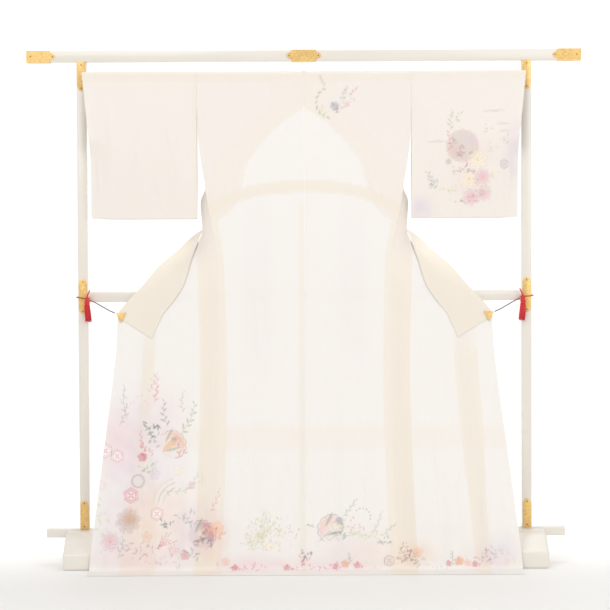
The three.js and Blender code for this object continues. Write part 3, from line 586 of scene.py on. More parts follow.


# the cloth's own colours and its dyes, and tones that are painted shade: the doubled cloth and the layers
# behind, the collar's doubled tan, and the cool streaks of the folds
palette = {
    "single": colour(242, 238, 234), "double": colour(241, 231, 217), "behind": colour(241, 231, 223),
    "paintedFoldShade": colour(238, 231, 229), "collar": colour(239, 230, 216), "sleeve": colour(242, 235, 228),
    "lavender": colour(222, 208, 224), "pink": colour(238, 196, 206),
    "rose": colour(214, 92, 112), "red": colour(206, 66, 74), "orange": colour(236, 150, 84),
    "gold": colour(232, 178, 96), "peach": colour(244, 196, 168), "brown": colour(142, 78, 72),
    "mauve": colour(160, 122, 150), "plum": colour(102, 62, 98), "blue": colour(138, 158, 182),
    "deep": colour(62, 92, 98), "green": colour(122, 150, 112), "sage": colour(164, 178, 152),
    "lime": colour(206, 210, 138), "beige": colour(206, 182, 172), "grey": colour(168, 164, 172),
    "cream": colour(250, 238, 214), "white": colour(250, 249, 246),
}


class DyeAndShade:
    # the colour of each point of a cloth, its dyes and the painted shade laid over them; x is from the
    # centre back and z along the cloth from the bend at the hem, both in mm
    def __init__(self, x, z, base):
        self.x, self.z = np.asarray(x, float).ravel(), np.asarray(z, float).ravel()
        self.shade = np.tile(palette[base], (len(self.x), 1))
        self.faint = 1.0              # how strongly all that follows is laid

    def near(self, x, z, reach):
        picked = np.nonzero((np.abs(self.x - x) < reach) & (np.abs(self.z - z) < reach))[0]
        return picked, self.x[picked] - x, self.z[picked] - z

    def lay(self, picked, share, name):
        share = self.faint * np.clip(share, 0, 1)[:, None]
        self.shade[picked] += share * (palette[name] - self.shade[picked])

    def wash(self, x, z, halfX, halfZ, name, strength):
        picked, u, v = self.near(x, z, max(halfX, halfZ) * 1.3)
        far = np.sqrt((u / halfX) ** 2 + (v / halfZ) ** 2)
        uneven = 1 + 0.25 * np.sin(u * 0.07 + 1.3) * np.sin(v * 0.09 + 0.4)
        self.lay(picked, 1.5 * strength * ease(1.15 - far) * uneven, name)

    def disc(self, x, z, radius, name, strength=1.0, soft=1.8):
        picked, u, v = self.near(x, z, radius + 4)
        self.lay(picked, strength * ((radius - np.hypot(u, v)) / soft + 0.5), name)

    def ring(self, x, z, radius, width, name, strength=1.0, lobes=0, deep=0.0):
        picked, u, v = self.near(x, z, radius * (1 + deep) + width + 4)
        edge = radius * (1 - deep / 2 + deep * np.abs(np.sin(lobes * np.arctan2(v, u) / 2)))
        self.lay(picked, strength * ((width / 2 - np.abs(np.hypot(u, v) - edge)) / 1.8 + 0.6), name)

    def blossom(self, x, z, radius, name, petals=5, edge=None, heart="gold", turn=0.3, strength=0.9):
        picked, u, v = self.near(x, z, radius + 5)
        angle = np.arctan2(v, u) + turn
        far = np.hypot(u, v)
        rim = radius * (0.62 + 0.38 * np.sqrt(np.abs(np.sin(petals * angle / 2))))
        self.lay(picked, 0.55 * strength * ((rim - far) / 2 + 0.5), name)
        if edge:
            self.lay(picked, 0.75 * ((0.9 - np.abs(far - rim)) / 1.6 + 0.4), edge)
            parting = np.abs(np.sin(petals * angle / 2)) * far
            self.lay(picked, 0.35 * (far < rim) * ((1.0 - parting) / 1.6 + 0.5), edge)
        self.disc(x, z, radius * 0.16, heart, 0.7)

    def peony(self, x, z, radius, name, edge, heart="gold", strength=0.85):
        rounds = ((1.0, 8, 0.2), (0.74, 7, 0.7), (0.5, 5, 0.1), (0.28, 4, 0.9))
        for step, (size, petals, turn) in enumerate(rounds):
            self.blossom(x + step * radius * 0.04, z + step * radius * 0.05, radius * size, name,
                         petals, edge, heart, turn, strength if step == 0 else 0.35)

    def leaf(self, x, z, angle, length, width, name, vein=None, strength=0.9):
        turn = math.radians(angle)
        x, z = x + math.cos(turn) * length / 2, z + math.sin(turn) * length / 2
        picked, u, v = self.near(x, z, length / 2 + 4)
        along = (u * math.cos(turn) + v * math.sin(turn)) / (length / 2)
        off = np.abs(-u * math.sin(turn) + v * math.cos(turn))
        half = 0.85 * width / 2 * np.clip(1 - along ** 2, 0, 1) ** 0.8
        self.lay(picked, 0.75 * strength * (np.abs(along) < 1) * ((half - off) / 1.6 + 0.45), name)
        if vein:
            self.lay(picked, 0.6 * (np.abs(along) < 0.85) * ((0.7 - off) / 1.4 + 0.4), vein)

    def line(self, points, width, name, strength=0.9, dotted=0.0):
        points = np.asarray(points, float)
        done = 0.0
        for start, end in zip(points[:-1], points[1:]):
            middle, step = (start + end) / 2, end - start
            long = max(1e-6, float(np.hypot(*step)))
            picked, u, v = self.near(middle[0], middle[1], long / 2 + width + 3)
            u, v = u + middle[0] - start[0], v + middle[1] - start[1]
            along = np.clip((u * step[0] + v * step[1]) / long, 0, long)
            off = np.hypot(u - along * step[0] / long, v - along * step[1] / long)
            share = strength * ((width / 2 - off) / 1.6 + 0.5)
            if dotted:
                share = share * (np.sin((done + along) * 2 * math.pi / dotted) > -0.1)
            self.lay(picked, share, name)
            done += long

    def arc(self, x, z, angle, length, bend, count=14):
        heading = np.radians(angle + bend * np.linspace(-0.5, 0.5, count))
        steps = length / count
        return np.stack([x + np.cumsum(np.cos(heading)) * steps,
                         z + np.cumsum(np.sin(heading)) * steps], 1)

    def sprig(self, x, z, angle, length, leaves, size, name, bend, stem, narrow=0.36):
        line = self.arc(x, z, angle, length, bend)
        self.line(line, 1.6, stem, 0.8)
        for index in range(leaves):
            share = (index + 1) / (leaves + 0.5)
            place = line[min(len(line) - 1, int(share * len(line)))]
            heading = angle + bend * (share - 0.5)
            way = 1 if index % 2 else -1
            long = size * (1.1 - 0.45 * share) * (1 + 0.12 * math.sin(index * 2.3))
            self.leaf(place[0], place[1], heading + way * (48 - 14 * share), long, long * narrow, name)

    def fan(self, x, z, angle, spread, count, length, name, beads=4, bead=2.2):
        # threads that end in beads, as of gypsophila
        for index in range(count):
            turn = math.radians(angle + spread * (index / max(1, count - 1) - 0.5))
            long = length * (0.8 + 0.2 * math.cos(index * 1.9))
            end = (x + math.cos(turn) * long, z + math.sin(turn) * long)
            self.line([(x, z), end], 1.2, name, 0.55)
            for step in range(beads):
                share = 1 - step * 0.2
                self.disc(mix(x, end[0], share) + 1.5 * (step % 2), mix(z, end[1], share), bead, name)

    def scatter(self, x, z, halfX, halfZ, count, size, name, seed=0):
        # small loose leaves and buds that break up a spray
        for index in range(count):
            far = math.sqrt((index + 0.5) / count)
            turn = index * goldenTurn + seed
            long = size * (0.7 + 0.6 * abs(math.sin(index * 1.7 + seed)))
            self.leaf(x + halfX * far * math.cos(turn), z + halfZ * far * math.sin(turn),
                      (index * 77 + seed * 31) % 360, long, long * 0.4, name)

    def hexagon(self, x, z, radius, name, fill=None, turn=0.52):
        picked, u, v = self.near(x, z, radius + 5)
        angle = (np.arctan2(v, u) + turn) % (math.pi / 3) - math.pi / 6
        far = np.hypot(u, v) * np.cos(angle) / math.cos(math.pi / 6)
        if fill:
            self.lay(picked, 0.4 * ((radius - far) / 2 + 0.5), fill)
            self.disc(x, z, radius * 0.5, "white", 0.7)
        self.lay(picked, 0.95 * ((1.1 - np.abs(far - radius)) / 1.6 + 0.45), name)
        self.lay(picked, 0.9 * ((0.9 - np.abs(far - radius * 0.72)) / 1.6 + 0.45), name)
        for quarter in range(4):
            self.leaf(x, z, 45 + 90 * quarter, radius * 0.5, radius * 0.3, name)
        self.disc(x, z, radius * 0.12, "white")

    def ball(self, x, z, radius, fill, rim, second, flower, turn=0.0):
        # a round of dyed ground with a scalloped rim, crossed by lens-shaped leaves
        picked, u, v = self.near(x, z, radius * 1.2 + 5)
        across = (u * math.cos(turn) + v * math.sin(turn)) / radius
        inside = ease((radius * 0.97 - np.hypot(u, v)) / 3)
        self.lay(picked, inside * (0.2 + 0.5 * ease(across * 1.6 + 0.3)), fill)
        self.lay(picked, 0.6 * inside * ease((across - 0.25) * 2.4), second)
        for index in range(3):
            self.leaf(x - radius * 0.5, z - radius * (0.45 - 0.3 * index), 15 + 24 * index, radius * 1.25,
                      radius * 0.3, "cream" if index % 2 else "sage", rim, 0.7)
        before = self.shade[picked].copy()
        self.ring(x, z, radius * 1.02, 1.8, rim, 1.0, lobes=12, deep=0.09)
        broken = ease(across * 1.8 + 0.75)[:, None]
        self.shade[picked] = mix(before, self.shade[picked], broken)
        self.blossom(x + radius * 0.3, z + radius * 0.28, radius * 0.34, flower, 5, rim)


def dyeLeft(dyeAndShade):
    # the wide cluster that spreads over the left front, thinning upwards
    dyeAndShade.faint = 0.62
    for x, z, halfX, halfZ, name, strength in (
            (-520, 330, 150, 260, "lavender", 0.38), (-590, 380, 90, 150, "pink", 0.34),
            (-455, 150, 190, 130, "peach", 0.24), (-330, 110, 120, 110, "lavender", 0.36),
            (-600, 120, 90, 150, "lavender", 0.24), (-440, 470, 90, 110, "pink", 0.16),
            (-510, 30, 200, 70, "pink", 0.26), (-300, 90, 70, 90, "peach", 0.3)):
        dyeAndShade.wash(x, z, halfX, halfZ, name, strength)
    for x, z, radius, name, fill in ((-630, 356, 22, "rose", "white"), (-592, 340, 20, "rose", "white"),
                                     (-548, 218, 24, "red", "pink"), (-466, 162, 20, "rose", "white"),
                                     (-640, 250, 15, "pink", None)):
        dyeAndShade.hexagon(x, z, radius, name, fill)
    dyeAndShade.faint = 0.5
    dyeAndShade.ring(-526, 262, 19, 6, "grey", 0.7)
    dyeAndShade.sprig(-400, 404, 62, 112, 10, 20, "green", 40, "sage")
    dyeAndShade.sprig(-430, 424, 100, 88, 8, 18, "deep", -36, "green")
    dyeAndShade.sprig(-382, 470, 92, 70, 7, 14, "sage", -40, "sage")
    dyeAndShade.scatter(-484, 420, 22, 30, 15, 17, "deep", 1)
    dyeAndShade.scatter(-470, 386, 14, 24, 8, 13, "grey", 4)
    dyeAndShade.sprig(-480, 500, 84, 96, 9, 14, "rose", 30, "rose")
    dyeAndShade.scatter(-478, 560, 16, 34, 10, 11, "rose", 2)
    dyeAndShade.sprig(-500, 350, 108, 66, 7, 14, "red", -24, "rose")
    dyeAndShade.scatter(-502, 350, 22, 24, 11, 13, "red", 3)
    dyeAndShade.blossom(-514, 336, 15, "rose", 5, "red")
    dyeAndShade.sprig(-560, 448, 96, 110, 8, 16, "sage", -26, "green")
    dyeAndShade.sprig(-590, 430, 70, 80, 6, 13, "mauve", 30, "mauve")
    dyeAndShade.ball(-420, 374, 43, "peach", "brown", "orange", "pink", 0.7)
    dyeAndShade.leaf(-450, 352, 44, 66, 24, "gold", "orange")
    dyeAndShade.leaf(-424, 396, -14, 22, 12, "blue")
    dyeAndShade.scatter(-392, 352, 15, 20, 7, 14, "rose", 5)
    dyeAndShade.sprig(-462, 330, 250, 60, 6, 13, "lime", 40, "sage")
    dyeAndShade.scatter(-500, 302, 26, 12, 8, 13, "green", 6)
    dyeAndShade.faint = 0.4
    dyeAndShade.peony(-556, 140, 40, "beige", "mauve", "gold", 0.8)
    dyeAndShade.scatter(-552, 152, 24, 18, 10, 17, "gold", 2)
    dyeAndShade.peony(-612, 78, 32, "pink", "mauve", "gold", 0.5)
    dyeAndShade.faint = 0.55
    dyeAndShade.ball(-326, 96, 43, "mauve", "plum", "rose", "peach", 0.5)
    dyeAndShade.scatter(-318, 84, 26, 22, 12, 18, "mauve", 7)
    dyeAndShade.blossom(-280, 116, 24, "peach", 6, "orange", "red")
    dyeAndShade.scatter(-268, 96, 16, 12, 6, 12, "orange", 8)
    dyeAndShade.scatter(-352, 46, 24, 26, 12, 15, "grey", 9)
    dyeAndShade.scatter(-436, 132, 22, 10, 9, 14, "deep", 3)
    dyeAndShade.scatter(-372, 150, 30, 22, 12, 15, "grey", 4)
    dyeAndShade.fan(-462, 58, 44, 50, 6, 60, "red", 5, 1.7)
    dyeAndShade.fan(-420, 30, 70, 80, 6, 46, "rose", 3, 1.6)
    dyeAndShade.faint = 0.4
    for index, reach in enumerate((110, 92, 72)):
        ripple = dyeAndShade.arc(-478 + 16 * index, 190, 52, reach, -70)
        dyeAndShade.line(ripple, 3.4, "sage" if index % 2 else "lime", 0.75)
    dyeAndShade.sprig(-452, 236, 12, 120, 9, 18, "sage", 60, "green")
    dyeAndShade.sprig(-380, 232, 52, 70, 6, 15, "grey", 30, "green")
    dyeAndShade.sprig(-590, 20, 78, 80, 7, 17, "green", 30, "green")
    dyeAndShade.sprig(-650, 418, 100, 96, 7, 17, "mauve", -20, "mauve")
    dyeAndShade.scatter(-640, 150, 24, 60, 14, 15, "lime", 5)
    dyeAndShade.scatter(-520, 50, 60, 26, 20, 14, "mauve", 6)
    dyeAndShade.scatter(-440, 14, 60, 16, 16, 13, "beige", 7)
    dyeAndShade.blossom(-474, 284, 17, "lavender", 5, "mauve")
    dyeAndShade.blossom(-498, 90, 17, "peach", 5, "brown")
    dyeAndShade.blossom(-378, 34, 15, "rose", 5, "plum")
    dyeAndShade.blossom(-400, 296, 15, "cream", 5, "beige")
    dyeAndShade.blossom(-358, 250, 12, "pink", 5, "rose")
    dyeAndShade.sprig(-304, 164, 66, 80, 7, 14, "rose", 36, "rose")
    dyeAndShade.line([(-640, 44), (-600, 60), (-560, 50), (-520, 58)], 2.0, "plum", 0.7, 9)
    for index in range(9):
        dyeAndShade.disc(-584 + 11 * index, 516 + 14 * math.sin(index * 1.4), 2.0, "rose", 0.8)


def dyeHem(dyeAndShade):
    # a lower, sparser band across the back and the right front
    dyeAndShade.faint = 0.6
    dyeAndShade.wash(0, -4, 300, 34, "pink", 0.22)
    dyeAndShade.wash(-190, 0, 150, 44, "pink", 0.24)
    dyeAndShade.wash(120, 60, 130, 100, "lavender", 0.14)
    dyeAndShade.wash(190, 40, 150, 60, "peach", 0.16)
    dyeAndShade.wash(350, 36, 70, 50, "peach", 0.3)
    dyeAndShade.wash(560, 20, 100, 56, "pink", 0.2)
    dyeAndShade.wash(610, 40, 70, 70, "lavender", 0.34)
    dyeAndShade.faint = 0.42
    for x, z, turn, long, bend in ((-196, 40, 54, 150, 46), (-170, 34, 74, 138, 20),
                                   (-132, 36, 86, 128, -20), (-204, 60, 34, 126, 30)):
        dyeAndShade.sprig(x, z, turn, long, 10, 20, "lime", bend, "sage", 0.26)
    dyeAndShade.scatter(-130, 104, 60, 52, 26, 15, "lime", 3)
    dyeAndShade.scatter(-168, 96, 30, 36, 12, 12, "beige", 5)
    dyeAndShade.blossom(-112, 60, 14, "cream", 5, "gold")
    dyeAndShade.scatter(-112, 92, 92, 54, 34, 12, "beige", 6)
    dyeAndShade.scatter(-92, 118, 76, 30, 14, 9, "brown", 5)
    dyeAndShade.sprig(206, 98, 66, 70, 7, 13, "sage", 30, "brown")
    dyeAndShade.sprig(238, 88, 42, 60, 6, 12, "green", -20, "green")
    dyeAndShade.faint = 0.55
    dyeAndShade.ball(82, 112, 43, "pink", "brown", "peach", "cream", 2.4)
    for shift in (-18, 14):
        dyeAndShade.line([(60 + shift, 76), (92 + shift, 106)], 2.2, "sage", 0.9)
        dyeAndShade.line([(92 + shift, 76), (60 + shift, 106)], 2.2, "sage", 0.7)
    dyeAndShade.scatter(112, 104, 14, 26, 12, 13, "green", 2)
    dyeAndShade.scatter(116, 126, 8, 10, 5, 12, "lime", 4)
    dyeAndShade.blossom(104, 138, 12, "blue", 6, "mauve")
    dyeAndShade.sprig(112, 150, 50, 66, 7, 15, "sage", 24, "green")
    dyeAndShade.sprig(28, 118, 160, 26, 4, 9, "brown", 20, "brown")
    for index in range(7):
        turn = math.radians(130 - 24 * index)
        dyeAndShade.disc(176 + 26 * math.cos(turn), 150 + 26 * math.sin(turn), 2.2, "deep", 0.85)
    dyeAndShade.scatter(150, 120, 30, 26, 12, 10, "rose", 5)
    dyeAndShade.line([(130, 92), (160, 98), (190, 92), (216, 88), (240, 74), (270, 66)], 1.6, "sage", 0.8)
    dyeAndShade.scatter(184, 94, 52, 9, 18, 12, "lime", 6)
    dyeAndShade.scatter(246, 74, 26, 9, 9, 12, "green", 7)
    dyeAndShade.scatter(0, 34, 20, 16, 13, 12, "plum", 8)
    dyeAndShade.scatter(-6, 16, 16, 12, 8, 12, "rose", 3)
    dyeAndShade.hexagon(260, 14, 18, "brown")
    dyeAndShade.scatter(312, 36, 24, 30, 30, 10, "brown", 1)
    dyeAndShade.scatter(322, 22, 38, 14, 20, 10, "mauve", 2)
    dyeAndShade.scatter(348, 12, 26, 12, 12, 11, "sage", 6)
    dyeAndShade.blossom(348, 40, 17, "peach", 5, "beige")
    dyeAndShade.faint = 0.5
    for x, z, size, name in ((122, 6, 13, "orange"), (160, 0, 12, "rose"), (92, -4, 10, "rose"),
                             (446, 6, 10, "rose"), (478, 12, 15, "orange"), (504, 6, 11, "peach"),
                             (528, 2, 10, "rose"), (-60, -8, 12, "rose"), (-250, 14, 13, "peach"),
                             (-222, -6, 12, "rose")):
        dyeAndShade.blossom(x, z, size, name, 5, "beige")
        dyeAndShade.scatter(x + 4, z - 2, size * 1.5, size * 0.7, 6, 9, name, size)
    dyeAndShade.faint = 0.4
    dyeAndShade.sprig(136, 4, 96, 36, 6, 12, "deep", 26, "green")
    dyeAndShade.sprig(456, 4, 92, 40, 6, 12, "deep", 22, "green")
    dyeAndShade.scatter(70, -6, 46, 10, 12, 13, "rose", 9)
    dyeAndShade.scatter(-180, -8, 60, 9, 16, 13, "rose", 4)
    dyeAndShade.scatter(-320, -2, 50, 10, 12, 12, "rose", 6)
    dyeAndShade.scatter(-10, -10, 60, 7, 12, 12, "red", 7)
    dyeAndShade.scatter(560, 26, 26, 24, 16, 13, "mauve", 2)
    dyeAndShade.scatter(594, 40, 20, 20, 10, 13, "sage", 3)
    dyeAndShade.scatter(636, 14, 22, 18, 10, 12, "peach", 5)
    dyeAndShade.scatter(420, -4, 50, 6, 10, 11, "beige", 6)
    dyeAndShade.scatter(220, -2, 60, 8, 12, 11, "peach", 8)


def dyeShoulder(dyeAndShade):
    dyeAndShade.faint = 0.46
    dyeAndShade.wash(92, 1444, 62, 56, "lavender", 0.08)
    for index in range(8):
        turn = math.radians(104 + 21 * index)
        dyeAndShade.leaf(82 + 40 * math.cos(turn), 1450 + 44 * math.sin(turn), math.degrees(turn) + 74, 18, 8,
                 "green" if index % 3 else "sage", "cream")
    dyeAndShade.scatter(56, 1424, 16, 14, 10, 11, "lime", 2)
    dyeAndShade.blossom(97, 1440, 15, "blue", 6, "mauve", "gold")
    dyeAndShade.scatter(108, 1432, 20, 12, 9, 12, "mauve", 3)
    dyeAndShade.sprig(66, 1496, 112, 44, 6, 12, "sage", 20, "green")
    dyeAndShade.sprig(112, 1456, 62, 54, 6, 13, "grey", 26, "mauve")
    dyeAndShade.sprig(138, 1474, 38, 40, 5, 11, "rose", 26, "rose")
    dyeAndShade.scatter(132, 1466, 26, 24, 12, 10, "sage", 5)
    dyeAndShade.blossom(136, 1446, 9, "pink", 5, "rose")


def dyeSleeve(dyeAndShade):
    dyeAndShade.faint = 0.6
    dyeAndShade.wash(362, 1112, 60, 60, "lavender", 0.5)
    dyeAndShade.wash(668, 1290, 46, 130, "lavender", 0.44)
    dyeAndShade.wash(520, 1190, 90, 80, "pink", 0.14)
    dyeAndShade.wash(560, 1290, 90, 70, "pink", 0.12)
    dyeAndShade.faint = 0.42
    dyeAndShade.disc(500, 1312, 49, "beige", 0.55)
    dyeAndShade.wash(478, 1290, 34, 36, "rose", 0.16)
    dyeAndShade.wash(520, 1330, 30, 30, "lavender", 0.5)
    dyeAndShade.ring(500, 1312, 50, 2.0, "rose", 0.7, lobes=14, deep=0.07)
    dyeAndShade.scatter(464, 1326, 12, 28, 12, 12, "rose", 3)
    dyeAndShade.scatter(476, 1330, 8, 8, 4, 12, "blue", 4)
    dyeAndShade.scatter(504, 1290, 30, 12, 10, 15, "mauve", 5)
    dyeAndShade.sprig(466, 1356, 88, 66, 8, 15, "green", -30, "green")
    dyeAndShade.scatter(486, 1404, 16, 16, 8, 12, "sage", 6)
    for x, z, radius in ((546, 1268, 33), (520, 1206, 34), (562, 1212, 30), (526, 1150, 30),
                         (566, 1160, 26)):
        dyeAndShade.peony(x, z, radius, "cream" if radius > 30 else "pink", "beige", "gold", 0.5)
    dyeAndShade.scatter(510, 1238, 34, 12, 10, 13, "brown", 2)
    dyeAndShade.scatter(562, 1176, 30, 26, 12, 13, "sage", 3)
    dyeAndShade.scatter(520, 1140, 40, 9, 10, 11, "brown", 7)
    dyeAndShade.hexagon(632, 1254, 15, "plum")
    # short haze lines
    for x, z, width in ((588, 1422, 44), (616, 1424, 34), (628, 1382, 40), (634, 1360, 34),
                        (420, 1326, 56)):
        dyeAndShade.line([(x - width / 2, z - 2), (x, z + 2), (x + width / 2, z - 1)], 3.2, "beige", 0.8)
        dyeAndShade.line([(x - width / 3, z - 4), (x + width / 4, z - 3)], 1.8, "mauve", 0.6)
    dyeAndShade.scatter(636, 1332, 14, 12, 8, 12, "beige", 4)
    dyeAndShade.scatter(580, 1366, 14, 12, 7, 11, "beige", 5)
    dyeAndShade.sprig(414, 1168, 112, 66, 8, 15, "deep", 30, "green")
    dyeAndShade.scatter(404, 1196, 16, 20, 9, 13, "grey", 8)
    dyeAndShade.scatter(462, 1174, 26, 6, 9, 13, "lime", 9)
    dyeAndShade.scatter(598, 1222, 12, 8, 5, 13, "lime", 3)
    dyeAndShade.scatter(594, 1306, 14, 12, 6, 13, "lime", 5)
    dyeAndShade.blossom(456, 1262, 10, "sage", 5, "mauve")
    dyeAndShade.scatter(476, 1232, 10, 10, 5, 10, "mauve", 5)


# ------------------------------------------------ the garment's pieces
def clothSheet(name, points, along, shades, material, side, flip=False):
    # an open sheet over a grid of points, with its own flat map in metres
    rows, columns = points.shape[:2]
    index = np.arange(rows * columns).reshape(rows, columns)
    quads = np.stack([index[:-1, :-1], index[:-1, 1:], index[1:, 1:], index[1:, :-1]], -1).reshape(-1, 4)
    if (side < 0) != flip:
        quads = quads[:, ::-1]
    data = bpy.data.meshes.new(name)
    data.vertices.add(rows * columns)
    data.vertices.foreach_set("co", toFrame(points).reshape(-1))
    data.loops.add(quads.size)
    data.loops.foreach_set("vertex_index", quads.reshape(-1).astype(np.int32))
    data.polygons.add(len(quads))
    data.polygons.foreach_set("loop_start", np.arange(0, quads.size, 4, dtype=np.int32))
    data.update(calc_edges=True)
    flat = data.uv_layers.new(name="cloth")
    flat.data.foreach_set("uv", (along * mm).reshape(-1, 2)[quads.reshape(-1)].reshape(-1))
    dyeAndShadeColour = data.color_attributes.new("dyeAndShadeColour", "FLOAT_COLOR", "POINT")
    full = np.concatenate([shades.reshape(-1, 3), np.ones((rows * columns, 1))], 1)
    dyeAndShadeColour.data.foreach_set("color", full.reshape(-1))
    data.materials.append(material)
    data.validate()
    data.shade_smooth()
    made = bpy.data.objects.new(name.replace(" ", "-"), data)
    bpy.context.scene.collection.objects.link(made)
    return made


def measured(points):
    # the lengths across and down a grid of points, as its flat map
    down, side = (np.concatenate([[0], np.cumsum(np.linalg.norm(np.diff(line, axis=0), axis=1))])
                  for line in (points[:, points.shape[1] // 2], points[0]))
    return np.stack(np.broadcast_arrays(side[None, :], down[:, None]), -1)


def wear(made, node):
    # the sheet takes the place of its part from model.glb, under the root
    assign(made, node)


def spare(name, grid, side, flip=True):
    # spare cloth that is turned in behind a seam, coloured in the painted shade tone of doubled cloth
    plain = np.broadcast_to(palette["double"], grid.shape)
    made = clothSheet(name, grid, measured(grid), plain, finishes["doubled"], side, flip)
    assign(made, name.replace(" ", "_"))
    return made


bodySettings = {"columns": 112, "patterned": 620, "shoulder": 1345, "seamHalf": 0.15, "bandSoft": 5.0,
                "allowance": 19, "overRod": 1534}
tuckSettings = {"top": 1221, "height": 38, "sag": 78, "columns": 60}
patterned = bodySettings["patterned"]
lowRows = np.concatenate([np.linspace(hemRise, 0, 36, endpoint=False),
                          np.linspace(0, patterned, 226, endpoint=False)])
backRows = np.concatenate([lowRows, np.linspace(patterned, bodySettings["shoulder"], 86, endpoint=False),
                           np.linspace(bodySettings["shoulder"], riseOf(rodZ), 56)])
frontRows = np.concatenate([lowRows, np.linspace(patterned, riseOf(rodZ), 104)])


# how strongly each run of painted shade, of doubled cloth and of folds, is toned into the layer in front
# of it
bandTones = {"side": 0.72, "drawnBack": 0.5, "collar": 0.28, "backSeam": 0.3, "paintedFoldShade": 0.28, "tuck": 0.7,
             "turnedSide": 0.85, "insideFront": 0.6, "okumi": 0.7, "knee": 0.3, "overRod": 0.6,
             "sleeveSeam": 0.6, "shoulder": 0.42}


def band(dyeAndShade, share, strength=1.0, name="double"):
    dyeAndShade.lay(np.arange(len(dyeAndShade.x)), share * strength, name)


def bandShare(value, low, high, soft):
    return ease((value - low) / soft + 0.5) * ease((high - value) / soft + 0.5)


def bandOverRod(dyeAndShade):
    # painted shade of the doubled cloth over the rod
    band(dyeAndShade, ease((dyeAndShade.z + bendTop - bodySettings["overRod"]) / 5 + 0.5), bandTones["overRod"])


def doubledCloth(dyeAndShade, facing, side):
    # where two or more layers lie over each other the gauze looks warmer and denser; that tone is painted
    # shade, laid into the nearly opaque front layer for the light that the layers behind hold back
    out, z = dyeAndShade.x * side, dyeAndShade.z + bendTop
    soft, tones = bodySettings["bandSoft"], bandTones
    seam = read(sideSections, "seamOut", z)
    dyeAndShade.faint = 1.0
    okumi = seam + read(sideSections, "reach", z) * read(okumiSeam, "share", z)
    if facing == "back":
        beside = bandShare(out, seam - bodySettings["allowance"], seam + 90, soft)
        band(dyeAndShade, beside * below(z, 1290, 160), tones["side"])
        # the drawn-back front and the collar show through from the height where they swing behind,
        # painted as shade
        edge = read(sideSections, "edgeOut", z)
        behind = ease((out - edge) / 10 + 0.5) * above(z, 985, 60)
        band(dyeAndShade, behind, tones["drawnBack"], "behind")
        collarIn = mix(edge, edge + 95, np.clip((z - 1000) / 200, 0, 1))
        band(dyeAndShade, ease((collarIn + 14 - out) / 12) * behind, tones["collar"])
        if side < 0:
            allowance = bandShare(out, -6, bodySettings["allowance"], 3.5) * (z < 1150)
            band(dyeAndShade, allowance, tones["backSeam"])
        else:
            band(dyeAndShade, bandShare(out, -6, 4, 3.0), tones["backSeam"])
        # painted shade of the soft upright folds: a cooler, darker streak down each half of the back
        foldShadeSpan = below(z, 1240, 300) * above(z, 520, 260)
        band(dyeAndShade, tones["paintedFoldShade"] * foldShadeSpan * bandShare(out, 105, 195, 45), name="paintedFoldShade")
        # painted shade of the arched tuck of spare length behind
        place = out / seam
        top = tuckSettings["top"] - tuckSettings["sag"] * np.clip(place, 0, 1) ** 2.4
        band(dyeAndShade, bandShare(z, top - tuckSettings["height"], top, 6), tones["tuck"])
    else:
        band(dyeAndShade, bandShare(out, seam - 4, seam + 66, soft), tones["turnedSide"])
        band(dyeAndShade, above(z, 960, 90), tones["insideFront"], "behind")
        # beside the okumi's seam the spare cloth grows wider towards the hem; its shade is painted
        low = below(z, 520, 460)
        ends = ((6, 62), (34, 46)) if side < 0 else ((8, 2), (66, 44))
        within, beyond = (mix(first, last, low) for first, last in ends)
        beside = bandShare(out, okumi - within, okumi + beyond, soft)
        band(dyeAndShade, beside * below(z, 800, 160), tones["okumi"])
    band(dyeAndShade, bandShare(z, 374, 446, 34), tones["knee"])
    bandOverRod(dyeAndShade)


def pattern(dyeAndShade, side, facing):
    if facing == "back" or side > 0:
        dyeHem(dyeAndShade)
    if side < 0:
        dyeLeft(dyeAndShade)
    elif facing == "back":
        dyeShoulder(dyeAndShade)


